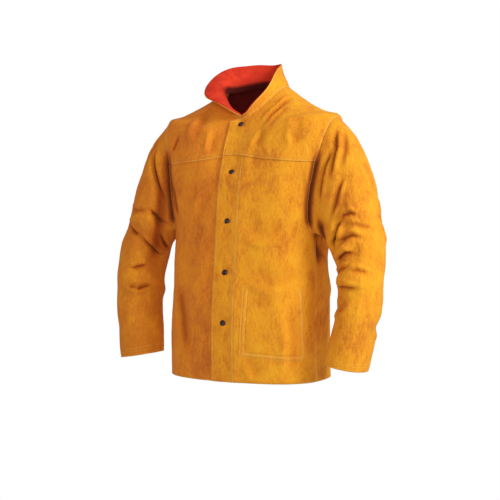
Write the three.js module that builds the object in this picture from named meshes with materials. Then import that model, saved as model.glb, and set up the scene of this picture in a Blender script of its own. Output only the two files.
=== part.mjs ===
// A leather welding jacket in the shape that it has when worn, snapped shut.
// Millimetres, +Z up. The front faces -Y and the wearer's left is +X. The
// origin is the middle of the neck opening, level with the sides of the neck.
import * as THREE from "three";

// Driving dimensions of the body
const BODY_LENGTH = 710; // from the side of the neck down to the hem
const BODY_WIDTH = 400; // across the hem
const BODY_DEPTH = 284; // front to back at the hem
const SHOULDER_WIDTH = 462; // from one armhole's top to the other's
const SHOULDER_DROP = 74; // from the side of the neck to the armhole's top
const RIGHT_SHOULDER_DROP = 12; // the wearer's right one hangs this much lower
const NECK_WIDTH = 164;
const NECK_DEPTH = 145;
const NECK_DROP = 77; // how far the neckline is lower at the front
const NECK_RISE = 15; // and higher at the back
const ARMHOLE_DEPTH = 280; // from its top down to the underarm
const ARMHOLE_FRONT_TURN = 13; // degrees from its middle to its front edge
const ARMHOLE_BACK_TURN = 21; // and to its back edge
const SIDE_SEAM_TURN = 80; // degrees round the body from the middle of the front
const SHOULDER_SEAM_TURN = 102; // the seam lies just behind the shoulder's top
const YOKE_DROP = 156; // from the side of the neck to the yoke's edge in front
const YOKE_SAG = 15; // the edge is this much lower at the armholes

// Driving dimensions of the sleeves
const SLEEVE_LENGTH = 450; // from the middle of the armhole down to the cuff
const SLEEVE_WIDTH = 134; // across the arm at the elbow
const CUFF_WIDTH = 108;

// Leather, lining and the clearances between pieces
const LEATHER = 1.5;
const LINING = 1.2;
const GAP = 0.3;
const ARMHOLE_GAP = 0.8; // between the armhole's edge and the sleeve
const YOKE_LAP = 12; // how far a yoke laps over the panel below it
const ARMHOLE_EASE = 0.3; // share of the sleeve that still follows the armhole
const SIDE_GAP = 0.6; // between the edges of two panels at a seam

// Front closure
const PLACKET_WIDTH = 62; // the overlap of the fronts, snaps on its middle
const PLACKET_EASE = 28; // in which the overlap comes down to the body again
const PLACKET_SLACK = 0.8; // how loose its layers lie above the yoke's edge
const PLACKET_CORNER = 17; // how far its top edge slopes down to the corner
const LAP_EASE = 16; // in which a lap comes down to the body again
const SNAP_DIAMETER = 15;
const SNAP_HEIGHT = 3.6;
const SNAP_GAP = 0.7; // between its cap and the leather
const FIRST_SNAP = 18; // from the neckline down to the first snap
const SNAP_PITCH = 122;
const SNAP_COUNT = 5;

// Collar, lining and pocket
const COLLAR_HEIGHT = 56;
const COLLAR_START = 1; // degrees from the middle of the front to its ends
const COLLAR_GAP = 0.7; // between its leather and its lining
const COLLAR_EDGE = 3; // the leather shows this much above the lining
const COLLAR_ROLL = 0.2; // how much a leaf that leans out rises first
const COLLAR_BEND = 1.4; // how late it leans out
const POCKET_WIDTH = 152;
const POCKET_HEIGHT = 168;
const POCKET_DROP = 484; // from the side of the neck to its upper edge
const POCKET_GAP = 0.8; // the pocket lies this loose behind the front
const POCKET_SIDE = 52; // from the middle of the front to its edge

// Fineness of the surfaces: how many spaces lie between their rows of points
const PLACKET_SPACES = 4; // across the overlap of the fronts
const FRONT_COLUMNS = 9; // from the overlap to the side seam
const SHOULDER_COLUMNS = 5; // of the back, below a shoulder seam
const NAPE_COLUMNS = 5; // of the back, below half of the neckline
const LOWER_ROWS = 7; // from the hem up to the underarm
const UPPER_ROWS = 5; // from the underarm up to the yoke
const PLACKET_ROWS = 4; // from the yoke's edge up to the neckline
const NECK_ROWS = 6; // along the neckline to the shoulder seam
const BACK_YOKE_ROWS = 6;
const NECK_LINING_ROWS = 4; // of the rows of the back yoke
const COLLAR_ROWS = 4;
const SLEEVE_ROWS = 20;
const SNAP_SIDES = 12;

// Sections of the body from the hem (rise 0) up to the neckline (rise 1). Hem,
// tip and neck are shares of the widths at the hem, the shoulder tips and the
// neck. Each fall is a share of the body's length. Front, back and lean are
// shares of its depth. Square is how boxy the section is, 2 being an ellipse.
const BODY_COLUMNS = ["rise", "hem", "tip", "neck", "sideFall", "frontFall", "backFall",
  "front", "back", "lean", "square"];
const BODY_SECTIONS = [
  [0.00, 1.00, 0.00, 0.00, 1.000, 1.000, 1.000, 0.49, 0.50, 0.12, 2.6],
  [0.19, 0.99, 0.00, 0.00, 0.815, 0.815, 0.815, 0.50, 0.49, 0.12, 2.6],
  [0.37, 0.98, 0.00, 0.00, 0.640, 0.640, 0.640, 0.47, 0.47, 0.11, 2.5],
  [0.53, 1.00, 0.00, 0.00, 0.485, 0.485, 0.485, 0.43, 0.50, 0.11, 2.5],
  [0.70, 0.58, 0.47, 0.00, 0.236, 0.323, 0.261, 0.37, 0.52, 0.11, 2.5],
  [0.82, 0.00, 1.00, 0.00, 0.000, 0.227, 0.131, 0.28, 0.49, 0.11, 2.3],
  [0.89, 0.00, 0.68, 0.37, 0.010, 0.133, 0.070, 0.17, 0.30, 0.07, 2.1],
  [0.95, 0.00, 0.27, 0.81, 0.016, 0.049, 0.028, 0.06, 0.11, 0.03, 2.0],
  [1.00, 0.00, 0.00, 1.00, 0.000, 0.000, 0.000, 0.00, 0.00, 0.00, 2.0],
];

// Sections of a sleeve from the armhole (place 0) to the cuff (place 1). Down
// and forward place its middle, in shares of the sleeve's length, and so do
// leftOut and rightOut for the two arms. Upper and cuff are shares of the two
// widths, and slim is taken off the right arm's. Deep is a share of the
// sleeve's width. Tilt is the slope of the section, in degrees.
const SLEEVE_COLUMNS = ["place", "down", "leftOut", "rightOut", "forward",
  "upper", "slim", "cuff", "deep", "tilt"];
const SLEEVE_SECTIONS = [
  [0.00, 0.000, 0.000, 0.000, 0.000, 2.10, 0.00, 0.00, 1.22, 81],
  [0.08, 0.051, 0.060, 0.040, 0.000, 1.88, 0.10, 0.00, 1.18, 73],
  [0.17, 0.133, 0.113, 0.080, 0.000, 1.62, 0.18, 0.00, 1.14, 64],
  [0.27, 0.229, 0.152, 0.118, 0.005, 1.36, 0.22, 0.00, 1.10, 52],
  [0.37, 0.327, 0.185, 0.152, 0.010, 1.10, 0.14, 0.00, 1.05, 38],
  [0.48, 0.444, 0.212, 0.184, 0.020, 0.89, -0.04, 0.00, 0.99, 22],
  [0.60, 0.578, 0.221, 0.197, 0.035, 0.59, -0.08, 0.28, 0.94, 9],
  [0.74, 0.727, 0.210, 0.192, 0.055, 0.30, -0.08, 0.60, 0.90, -2],
  [0.88, 0.871, 0.186, 0.170, 0.075, 0.11, -0.06, 0.84, 0.86, -7],
  [1.00, 1.000, 0.160, 0.150, 0.095, 0.00, 0.00, 1.00, 0.82, -10],
];

// How the collar's rim stands off the neckline, out and up, in shares of the
// collar's height. Turn is in degrees from the middle of the front, past the
// wearer's left and round the back.
const COLLAR_COLUMNS = ["turn", "out", "up"];
const COLLAR_LEANS = [
  [5, 0.08, 0.10],
  [15, 0.20, 0.20],
  [28, 0.14, 0.46],
  [42, 0.08, 0.54],
  [54, -0.10, 0.65],
  [76, -0.42, 0.68],
  [112, -0.52, 0.83],
  [145, -0.14, 0.88],
  [180, 0.25, 0.82],
  [219, 0.36, 0.92],
  [252, 0.55, 0.86],
  [270, 0.71, 0.50],
  [286, 0.87, 0.14],
  [302, 0.90, 0.02],
  [329, 0.60, 0.26],
  [348, 0.36, 0.22],
  [355, 0.10, 0.10],
];

// Folds of the body. Each runs from one turn and rise to another. Width and
// depth are shares of the body's depth, and a depth below 0 is a crease.
const BODY_FOLD_COLUMNS = ["fromTurn", "fromRise", "toTurn", "toRise", "width", "depth"];
const BODY_FOLDS = [
  [78, 0.60, 106, 0.44, 0.11, -0.026],
  [68, 0.74, 62, 0.66, 0.10, -0.014],
  [290, 0.56, 318, 0.42, 0.16, -0.018],
  [292, 0.78, 284, 0.68, 0.12, -0.018],
  [42, 0.06, 34, 0.30, 0.14, -0.014],
  [326, 0.10, 312, 0.34, 0.14, -0.012],
  [150, 0.20, 165, 0.55, 0.16, -0.020],
  [210, 0.20, 195, 0.55, 0.16, -0.020],
  [238, 0.46, 262, 0.36, 0.14, -0.020],
];

// Folds of the sleeves, from one round and place to another. Round is 0 at
// the underarm, 90 in front, 180 on the outside and below 0 behind the
// underarm. Width and depth are shares of the sleeve's width.
const SLEEVE_FOLD_COLUMNS = ["fromRound", "fromPlace", "toRound", "toPlace", "width", "depth"];
const LEFT_FOLDS = [
  [134, 0.05, 76, 0.08, 0.13, -0.050],
  [122, 0.16, 78, 0.22, 0.15, -0.050],
  [98, 0.28, 50, 0.36, 0.15, -0.085],
  [118, 0.38, 76, 0.35, 0.13, -0.035],
  [102, 0.45, 54, 0.46, 0.15, -0.075],
  [104, 0.57, 40, 0.56, 0.16, 0.045],
  [126, 0.63, 60, 0.66, 0.15, -0.040],
  [200, 0.34, 262, 0.44, 0.18, -0.035],
  [300, 0.30, 338, 0.40, 0.19, -0.045],
  [210, 0.60, 300, 0.56, 0.18, -0.045],
  [250, 0.78, 160, 0.84, 0.18, -0.030],
];
const RIGHT_FOLDS = [
  [146, 0.06, 76, 0.08, 0.14, -0.065],
  [70, 0.16, 40, 0.16, 0.14, -0.050],
  [150, 0.31, 82, 0.21, 0.15, -0.025],
  [148, 0.38, 74, 0.34, 0.15, -0.055],
  [68, 0.39, 0, 0.47, 0.17, -0.055],
  [40, 0.28, -20, 0.36, 0.18, -0.025],
  [74, 0.53, 40, 0.49, 0.15, -0.035],
  [14, 0.59, -34, 0.66, 0.15, 0.045],
  [130, 0.66, 50, 0.70, 0.16, -0.040],
  [206, 0.36, 268, 0.44, 0.18, -0.040],
  [220, 0.60, 304, 0.57, 0.18, -0.045],
  [250, 0.80, 160, 0.85, 0.18, -0.030],
];

// Finishes
const SUEDE = { color: 0xe0922a, roughness: 0.92, metalness: 0 };
const RED_COTTON = { color: 0xe8522f, roughness: 0.95, metalness: 0 };
const GUNMETAL = { color: 0x4b403e, roughness: 0.35, metalness: 0.9 };

const jacket = new THREE.Group();
const { degToRad, radToDeg, lerp, smoothstep } = THREE.MathUtils;

// Reads a table at any place between its rows, smoothly
function smoothTable(columns, rows) {
  const places = rows.map((row) => row[0]);
  const values = rows.flatMap((row) => row.slice(1));
  const width = columns.length - 1;
  const curve = new THREE.CubicInterpolant(places, values, width, new Float64Array(width));
  return (place) => {
    const row = curve.evaluate(place);
    return Object.fromEntries(columns.slice(1).map((name, index) => [name, row[index]]));
  };
}

const nameRows = (columns, rows) =>
  rows.map((row) => Object.fromEntries(columns.map((name, index) => [name, row[index]])));

const bodySection = smoothTable(BODY_COLUMNS, BODY_SECTIONS);
const sleeveSection = smoothTable(SLEEVE_COLUMNS, SLEEVE_SECTIONS);
const collarLean = smoothTable(COLLAR_COLUMNS, COLLAR_LEANS);
const bodyFolds = nameRows(BODY_FOLD_COLUMNS, BODY_FOLDS);

// A point of the body's outside. Turn runs in degrees from the middle of the
// front to the wearer's left, and rise from the hem to the neckline.
function bodyPoint(turn, rise) {
  const section = bodySection(rise);
  const side = Math.sin(degToRad(turn));
  const ahead = Math.cos(degToRad(turn));
  const facing = ahead > 0 ? section.front : section.back;
  const width = section.hem * BODY_WIDTH + section.tip * SHOULDER_WIDTH + section.neck * NECK_WIDTH;
  const halfWidth = width / 2;
  const halfDepth = facing * BODY_DEPTH + (section.neck * NECK_DEPTH) / 2;
  const sideways = (Math.abs(side) / halfWidth) ** section.square;
  const forwards = (Math.abs(ahead) / halfDepth) ** section.square;
  const radius = (sideways + forwards) ** (-1 / section.square);
  const shoulderDrop = SHOULDER_DROP + (side < 0 ? RIGHT_SHOULDER_DROP : 0);
  const sideHeight = -section.sideFall * BODY_LENGTH - section.tip * shoulderDrop;
  const frontHeight = -section.frontFall * BODY_LENGTH - section.neck * NECK_DROP;
  const backHeight = -section.backFall * BODY_LENGTH + section.neck * NECK_RISE;
  const height = lerp(sideHeight, ahead > 0 ? frontHeight : backHeight, ahead * ahead);
  return new THREE.Vector3(radius * side, -radius * ahead - section.lean * BODY_DEPTH, height);
}

// The outward direction of a surface, from points on four sides of a place
function normalAt(surface, across, along, [stepAcross, stepAlong]) {
  const before = surface(across - stepAcross, along);
  const below = surface(across, along - stepAlong);
  const right = surface(across + stepAcross, along).sub(before);
  const above = surface(across, along + stepAlong).sub(below);
  return right.cross(above).normalize();
}

// How far folds lift a place. Each has a soft valley with raised sides.
function foldLift(folds, distanceTo, unit) {
  return folds.reduce((lift, fold) => {
    const distance = distanceTo(fold) / (fold.width * unit);
    return lift + fold.depth * unit * (1 - distance ** 2 / 2) * Math.exp(-(distance ** 2));
  }, 0);
}

// The distance from a place to a line between two others
function distanceToLine(place, from, to) {
  const line = new THREE.Line3(new THREE.Vector3(...from, 0), new THREE.Vector3(...to, 0));
  const point = new THREE.Vector3(...place, 0);
  return line.closestPointToPoint(point, true, new THREE.Vector3()).distanceTo(point);
}

const BODY_STEP = [0.5, 0.003];

// A point at a distance off the body's outside, folds included
function offBody([turn, rise], lift) {
  const within = THREE.MathUtils.clamp(rise, BODY_STEP[1], 1 - BODY_STEP[1]);
  const flat = (degrees, height) => [degToRad(degrees) * (BODY_WIDTH / 2), height * BODY_LENGTH];
  const fold = foldLift(
    bodyFolds,
    (row) => distanceToLine(flat(turn, rise), flat(row.fromTurn, row.fromRise), flat(row.toTurn, row.toRise)),
    BODY_DEPTH,
  );
  return bodyPoint(turn, rise).addScaledVector(normalAt(bodyPoint, turn, within, BODY_STEP), lift + fold);
}

// The rise at which a line over the body comes up to a height, by halving
function riseWhere(turnAt, heightAt) {
  let low = 0;
  let high = 1;
  for (let step = 0; step < 30; step += 1) {
    const middle = (low + high) / 2;
    const turn = turnAt(middle);
    if (bodyPoint(turn, middle).z < heightAt(turn)) low = middle;
    else high = middle;
  }
  return low;
}

const riseAt = (turn, height) => riseWhere(() => turn, () => height);

// The turn of a line that keeps a distance from the middle of the front
function besideMiddle(distance, rise) {
  const ahead = -bodyPoint(0, rise).y - bodySection(rise).lean * BODY_DEPTH;
  return radToDeg(Math.atan2(distance, ahead));
}

// The rise that lies a distance down the middle of the front
function riseDownFront(distance) {
  const step = 0.002;
  let rise = 1;
  let left = distance;
  while (left > 0) {
    left -= bodyPoint(0, rise).distanceTo(bodyPoint(0, rise - step));
    rise -= step;
  }
  return rise;
}

// The edge of the armhole. Round is 0 at the underarm, 90 in front and 180 on
// top of the shoulder. Size is below 1 for the edge of the sleeve in it.
const ARMHOLE_TOP = riseAt(90, -SHOULDER_DROP);
const ARMHOLE_BOTTOM = riseAt(SIDE_SEAM_TURN, -SHOULDER_DROP - ARMHOLE_DEPTH);
const ARMHOLE_START = 0.3; // the fronts and the back begin beside the underarm
function armhole(round, size = 1) {
  const angle = degToRad(round);
  const middle = lerp(90, SIDE_SEAM_TURN, (1 + Math.cos(angle)) / 2);
  const high = (1 - Math.cos(angle) * size) / 2;
  const halfWidth = (round < 180 ? ARMHOLE_FRONT_TURN : ARMHOLE_BACK_TURN) * size;
  return [middle - halfWidth * Math.sin(angle), lerp(ARMHOLE_BOTTOM, ARMHOLE_TOP, high)];
}

// Where on the armhole something is reached, by halving
function armholeWhere(start, end, reached) {
  let low = start;
  let high = end;
  for (let step = 0; step < 30; step += 1) {
    const middle = (low + high) / 2;
    if (reached(armhole(middle))) high = middle;
    else low = middle;
  }
  return low;
}

// The lower edges of the yokes, and the edges that they lap over
const frontYokeHeight = (turn) => -YOKE_DROP - YOKE_SAG * Math.sin(degToRad(turn)) ** 2;
const backYokeHeight = () => -YOKE_DROP;
const lapUnder = (heightAt) => (turn) => heightAt(turn) - YOKE_LAP;
const lineAt = (heightAt) => (turn) => [turn, riseWhere(() => turn, heightAt)];
const frontYokeLine = lineAt(frontYokeHeight);
const frontLapLine = lineAt(lapUnder(frontYokeHeight));
const backYokeLine = lineAt(backYokeHeight);
const backLapLine = lineAt(lapUnder(backYokeHeight));
const isAbove = (line) => ([turn, rise]) => rise > line(turn)[1];
const FRONT_LAP_MEETING = armholeWhere(10, 150, isAbove(frontLapLine));
const FRONT_YOKE_MEETING = armholeWhere(10, 150, isAbove(frontYokeLine));
const SHOULDER_MEETING = armholeWhere(150, 250, ([turn]) => turn > SHOULDER_SEAM_TURN);
const BACK_YOKE_MEETING = armholeWhere(350, 210, isAbove(backYokeLine));
const BACK_LAP_MEETING = armholeWhere(350, 210, isAbove(backLapLine));

// Lines that the panels share
const straight = (from, to) => (way) => [lerp(from[0], to[0], way), lerp(from[1], to[1], way)];
const along = (line, from, to) => (way) => line(lerp(from, to, way));
const HALF_PLACKET = PLACKET_WIDTH / 2;
const besidePlacket = (rise) => [besideMiddle(HALF_PLACKET, rise), rise];
const placketTurn = (rise) => besideMiddle(HALF_PLACKET, rise);
const SEAM_TURN = radToDeg(SIDE_GAP / BODY_WIDTH);
const UNDERARM_SHARE = LOWER_ROWS / (LOWER_ROWS + UPPER_ROWS);
const NECK_SHARE = NECK_ROWS / (NECK_ROWS + PLACKET_ROWS);
const neckLine = (turn) => [turn, 1];

// Joins two lines end to end, the first with its share of the way
const join = (share, first, second) => (way) =>
  way < share ? first(way / share) : second((way - share) / (1 - share));

// Fills the space between four edges, each a line of turns and rises
function fill({ bottom, top, left, right }) {
  const corners = [bottom(0), bottom(1), top(0), top(1)];
  return (across, upward) =>
    [0, 1].map((axis) => {
      const upright = lerp(bottom(across)[axis], top(across)[axis], upward);
      const level = lerp(left(upward)[axis], right(upward)[axis], across);
      const low = lerp(corners[0][axis], corners[1][axis], across);
      const high = lerp(corners[2][axis], corners[3][axis], across);
      return upright + level - lerp(low, high, upward);
    });
}

// The overlap of the fronts between two edges, from its free edge inward. Its
// top slopes down to a corner. Each edge gives the rise at a distance.
function placketPatch(bottom, top, corner, rows) {
  const area = (sideways, upward) => {
    const distance = lerp(-HALF_PLACKET, HALF_PLACKET, sideways);
    const high = lerp(corner(distance), top(distance), smoothstep(sideways, 0, 0.5));
    const rise = lerp(bottom(distance), high, upward);
    return [besideMiddle(distance, rise), rise];
  };
  return { area, spaces: [PLACKET_SPACES, rows] };
}
const placketEdge = (heightAt) => (distance) => riseWhere((rise) => besideMiddle(distance, rise), heightAt);
const placketLap = placketEdge(lapUnder(frontYokeHeight));
const placketYoke = placketEdge(frontYokeHeight);
const placketCorner = () => riseAt(0, -NECK_DROP - PLACKET_CORNER);
const YOKE_START = placketYoke(HALF_PLACKET);
const LAP_START = placketLap(HALF_PLACKET);
const PLACKET_LOW = placketPatch(() => 0, placketLap, placketLap, LOWER_ROWS + UPPER_ROWS);
const PLACKET_LAP = placketPatch(placketLap, placketYoke, placketYoke, 1);
const PLACKET_HIGH = placketPatch(placketYoke, () => 1, placketCorner, PLACKET_ROWS);

// The lower front beside the overlap, the lap over it and the front yoke
function sideSeam(turn, armholeStart, armholeEnd) {
  const underarm = [turn, armhole(armholeStart)[1]];
  return join(UNDERARM_SHARE, straight([turn, 0], underarm), along(armhole, armholeStart, armholeEnd));
}
const FRONT_SEAM = SIDE_SEAM_TURN - SEAM_TURN;
const frontLap = along(frontLapLine, placketTurn(LAP_START), armhole(FRONT_LAP_MEETING)[0]);
const frontYoke = along(frontYokeLine, placketTurn(YOKE_START), armhole(FRONT_YOKE_MEETING)[0]);
const FRONT_LOW = {
  area: fill({
    bottom: straight([placketTurn(0), 0], [FRONT_SEAM, 0]),
    top: frontLap,
    left: along(besidePlacket, 0, LAP_START),
    right: sideSeam(FRONT_SEAM, ARMHOLE_START, FRONT_LAP_MEETING),
  }),
  spaces: [FRONT_COLUMNS, LOWER_ROWS + UPPER_ROWS],
};
const FRONT_LAP = {
  area: fill({
    bottom: frontLap,
    top: frontYoke,
    left: along(besidePlacket, LAP_START, YOKE_START),
    right: along(armhole, FRONT_LAP_MEETING, FRONT_YOKE_MEETING),
  }),
  spaces: [FRONT_COLUMNS, 1],
};
const FRONT_SHOULDER = SHOULDER_SEAM_TURN - SEAM_TURN;
const FRONT_HIGH = {
  area: fill({
    bottom: frontYoke,
    top: straight([FRONT_SHOULDER, 1], armhole(SHOULDER_MEETING - ARMHOLE_START)),
    left: join(
      1 - NECK_SHARE,
      along(besidePlacket, YOKE_START, 1),
      along(neckLine, placketTurn(1), FRONT_SHOULDER),
    ),
    right: along(armhole, FRONT_YOKE_MEETING, SHOULDER_MEETING - ARMHOLE_START),
  }),
  spaces: [FRONT_COLUMNS, PLACKET_ROWS + NECK_ROWS],
};

// One half of the lower back, of the lap over it and of the back yoke
const MIDDLE_OF_BACK = 180;
const BACK_COLUMNS = SHOULDER_COLUMNS + NAPE_COLUMNS;
const BACK_SEAM = SIDE_SEAM_TURN + SEAM_TURN;
const BACK_SHOULDER = SHOULDER_SEAM_TURN + SEAM_TURN;
const backLap = along(backLapLine, armhole(BACK_LAP_MEETING)[0], MIDDLE_OF_BACK);
const backYoke = along(backYokeLine, armhole(BACK_YOKE_MEETING)[0], MIDDLE_OF_BACK);
const BACK_LOW = {
  area: fill({
    bottom: straight([BACK_SEAM, 0], [MIDDLE_OF_BACK, 0]),
    top: backLap,
    left: sideSeam(BACK_SEAM, 360 - ARMHOLE_START, BACK_LAP_MEETING),
    right: straight([MIDDLE_OF_BACK, 0], backLapLine(MIDDLE_OF_BACK)),
  }),
  spaces: [BACK_COLUMNS, LOWER_ROWS + UPPER_ROWS],
};
const BACK_LAP = {
  area: fill({
    bottom: backLap,
    top: backYoke,
    left: along(armhole, BACK_LAP_MEETING, BACK_YOKE_MEETING),
    right: straight(backLapLine(MIDDLE_OF_BACK), backYokeLine(MIDDLE_OF_BACK)),
  }),
  spaces: [BACK_COLUMNS, 1],
};
const BACK_HIGH = {
  area: fill({
    bottom: backYoke,
    top: join(
      SHOULDER_COLUMNS / BACK_COLUMNS,
      straight(armhole(SHOULDER_MEETING + ARMHOLE_START), [BACK_SHOULDER, 1]),
      along(neckLine, BACK_SHOULDER, MIDDLE_OF_BACK),
    ),
    left: along(armhole, BACK_YOKE_MEETING, SHOULDER_MEETING + ARMHOLE_START),
    right: straight(backYokeLine(MIDDLE_OF_BACK), [MIDDLE_OF_BACK, 1]),
  }),
  spaces: [BACK_COLUMNS, BACK_YOKE_ROWS],
};

// Merges patches that share edges into one list of places with its triangles.
// A mirrored patch lies on the wearer's other side.
function joinPatches(patches) {
  const places = [];
  const faces = [];
  const known = new Map();
  const indexOf = (place) => {
    const key = `${place[0].toFixed(3)} ${place[1].toFixed(5)}`;
    if (!known.has(key)) {
      known.set(key, places.length);
      places.push(place);
    }
    return known.get(key);
  };
  for (const { area, spaces, mirrored } of patches) {
    const [columns, rows] = spaces;
    const at = (column, row) => {
      const [turn, rise] = area(column / columns, row / rows);
      return indexOf([mirrored ? 360 - turn : turn, rise]);
    };
    for (let row = 0; row < rows; row += 1) {
      for (let column = 0; column < columns; column += 1) {
        const ring = [at(column, row), at(column + 1, row), at(column + 1, row + 1), at(column, row + 1)];
        const [a, b, c, d] = mirrored ? ring.reverse() : ring;
        faces.push([a, b, c], [a, c, d]);
      }
    }
  }
  return { places, faces };
}

// Closes an outside and an inside of the same triangles into one solid, with
// a rim along every edge that only one triangle has
function closeWall(outside, inside, faces) {
  const count = outside.length;
  const edges = new Set(faces.flatMap(([a, b, c]) => [`${a} ${b}`, `${b} ${c}`, `${c} ${a}`]));
  const closed = faces.flatMap(([a, b, c]) => [a, b, c, a + count, c + count, b + count]);
  for (const edge of edges) {
    const [a, b] = edge.split(" ").map(Number);
    if (!edges.has(`${b} ${a}`)) closed.push(b, a, a + count, b, a + count, b + count);
  }
  const geometry = new THREE.BufferGeometry();
  const corners = [...outside, ...inside].flatMap((point) => point.toArray());
  geometry.setAttribute("position", new THREE.Float32BufferAttribute(corners, 3));
  geometry.setIndex(closed);
  geometry.computeVertexNormals();
  return geometry;
}

function addPiece(name, geometry, finish) {
  const mesh = new THREE.Mesh(geometry, new THREE.MeshStandardMaterial({ name, ...finish }));
  mesh.name = name;
  jacket.add(mesh);
  return mesh;
}

// A piece of the body's wall, with its outside at a lift off the body
function addPanel(name, patches, lift, thickness = LEATHER, finish = SUEDE) {
  const { places, faces } = joinPatches(patches);
  const outside = places.map((place) => offBody(place, lift(place)));
  const inside = places.map((place) => offBody(place, lift(place) - thickness));
  return addPiece(name, closeWall(outside, inside, faces), finish);
}

const mirror = (patches) => patches.map((patch) => ({ ...patch, mirrored: true }));
const bothSides = (patches) => [...patches, ...mirror(patches)];

// How far the layers lie off the body
const LAYER = LEATHER + GAP;
const flush = () => 0;

// A yoke lies on the panel that it laps over, and comes down above the lap
function yokeLift(heightAt) {
  return ([turn, rise]) => {
    const above = bodyPoint(turn, rise).z - heightAt(turn);
    return LAYER * (1 - smoothstep(above, 0, LAP_EASE));
  };
}
const frontYokeLift = yokeLift(frontYokeHeight);
const backYokeLift = yokeLift(backYokeHeight);

// What lies over the right front clears its yoke's lap
function underLift([turn, rise]) {
  const above = bodyPoint(turn, rise).z - frontYokeHeight(turn);
  const rising = smoothstep(above, -YOKE_LAP - 2 * LAP_EASE, -YOKE_LAP - LAP_EASE / 2);
  const lap = LAYER * rising * (1 - smoothstep(above, LAP_EASE, 3 * LAP_EASE));
  return lap + PLACKET_SLACK * smoothstep(above, 0, LAP_EASE);
}

// The left front lies on the facing and the right front at the overlap
function overlapLift([turn, rise]) {
  const distance = Math.abs(bodyPoint(turn, rise).x);
  const near = 1 - smoothstep(distance, HALF_PLACKET + GAP, HALF_PLACKET + PLACKET_EASE);
  return (2 * LAYER + underLift([turn, rise])) * near;
}

const LOWER_FRONT = [PLACKET_LOW, PLACKET_LAP, FRONT_LOW, FRONT_LAP];
const FRONT_YOKE = [PLACKET_LAP, PLACKET_HIGH, FRONT_LAP, FRONT_HIGH];
addPanel("front_left", LOWER_FRONT, overlapLift);
addPanel("front_right", mirror(LOWER_FRONT), flush);
addPanel("back", bothSides([BACK_LOW, BACK_LAP]), flush);
addPanel("yoke_left", FRONT_YOKE, (place) => overlapLift(place) + frontYokeLift(place));
addPanel("yoke_right", mirror(FRONT_YOKE), frontYokeLift);
addPanel("yoke_back", bothSides([BACK_LAP, BACK_HIGH]), backYokeLift);
addPanel("front_facing", [PLACKET_LOW, PLACKET_LAP, PLACKET_HIGH], (place) => LAYER + underLift(place));

// The red lining inside the back yoke, under the neckline
const NECK_LINING = {
  area: (across, upward) =>
    BACK_HIGH.area(
      lerp(SHOULDER_COLUMNS / BACK_COLUMNS, 1, across),
      lerp(1 - NECK_LINING_ROWS / BACK_YOKE_ROWS, 1, upward),
    ),
  spaces: [NAPE_COLUMNS, NECK_LINING_ROWS],
};
addPanel("neck_lining", bothSides([NECK_LINING]), () => -LAYER, LINING, RED_COTTON);

// A grid of points over a surface, with its triangles
function sampleGrid(surface, across, upward, round = false) {
  const columns = round ? across.length : across.length - 1;
  const points = upward.flatMap((row) => across.map((column) => surface(column, row)));
  const faces = [];
  const at = (column, row) => row * across.length + (column % across.length);
  for (let row = 0; row < upward.length - 1; row += 1) {
    for (let column = 0; column < columns; column += 1) {
      const [a, b] = [at(column, row), at(column + 1, row)];
      const [c, d] = [at(column + 1, row + 1), at(column, row + 1)];
      faces.push([a, b, c], [a, c, d]);
    }
  }
  return { points, faces };
}

// Even steps from one value to another
const steps = (from, to, count) =>
  Array.from({ length: count + 1 }, (_, step) => lerp(from, to, step / count));

// The pocket inside the left front. Its stitches go through to the outside.
// It lies on the flat facets of the front, between the points of its patch.
function onFacets({ area, spaces }, across, upward, lift) {
  const [columns, rows] = spaces;
  const column = Math.min(Math.floor(across * columns), columns - 1);
  const row = Math.min(Math.floor(upward * rows), rows - 1);
  const right = across * columns - column;
  const above = upward * rows - row;
  const corner = (side, top) => offBody(area((column + side) / columns, (row + top) / rows), lift);
  const [start, end, middle] = [corner(0, 0), corner(1, 1), right > above ? corner(1, 0) : corner(0, 1)];
  const weights = right > above ? [1 - right, above, right - above] : [1 - above, right, above - right];
  start.multiplyScalar(weights[0]).addScaledVector(end, weights[1]);
  return start.addScaledVector(middle, weights[2]);
}

// The share of the front's width that a distance round the body takes
const FRONT_WIDTH = bodyPoint(...FRONT_LOW.area(0, 0)).distanceTo(bodyPoint(...FRONT_LOW.area(0.5, 0)))
  + bodyPoint(...FRONT_LOW.area(0.5, 0)).distanceTo(bodyPoint(...FRONT_LOW.area(1, 0)));
const upwardAt = (height) => riseAt(placketTurn(0), height) / LAP_START;
const pocketStart = (POCKET_SIDE - HALF_PLACKET) / FRONT_WIDTH;
const pocketEnd = pocketStart + POCKET_WIDTH / FRONT_WIDTH;
const within = (from, to, spaces) => [
  from,
  ...steps(0, 1, spaces).filter((way) => way > from + 0.001 && way < to - 0.001),
  to,
];
const pocketAcross = within(pocketStart, pocketEnd, FRONT_LOW.spaces[0]);
const pocketUpward = within(
  upwardAt(-POCKET_DROP - POCKET_HEIGHT),
  upwardAt(-POCKET_DROP),
  FRONT_LOW.spaces[1],
);
const pocketLayer = (lift) =>
  sampleGrid((across, upward) => onFacets(FRONT_LOW, across, upward, lift), pocketAcross, pocketUpward);
const pocketOutside = pocketLayer(-LEATHER - POCKET_GAP);
const pocketInside = pocketLayer(-2 * LEATHER - POCKET_GAP);
addPiece("inside_pocket", closeWall(pocketOutside.points, pocketInside.points, pocketOutside.faces), SUEDE);

// The outside of the collar, from the neckline (up 0) to its rim (up 1)
function collarPoint(turn, up) {
  const { out, up: high } = collarLean(turn);
  const base = offBody([turn, 1], turn < MIDDLE_OF_BACK ? overlapLift([turn, 1]) : 0);
  const outward = new THREE.Vector3(Math.sin(degToRad(turn)), -Math.cos(degToRad(turn)), 0);
  const roll = COLLAR_ROLL * Math.max(out, 0) * Math.sin(Math.PI * up);
  base.addScaledVector(outward, COLLAR_HEIGHT * out * up ** COLLAR_BEND);
  base.z += GAP + COLLAR_HEIGHT * (high * up + roll);
  return base;
}

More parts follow.
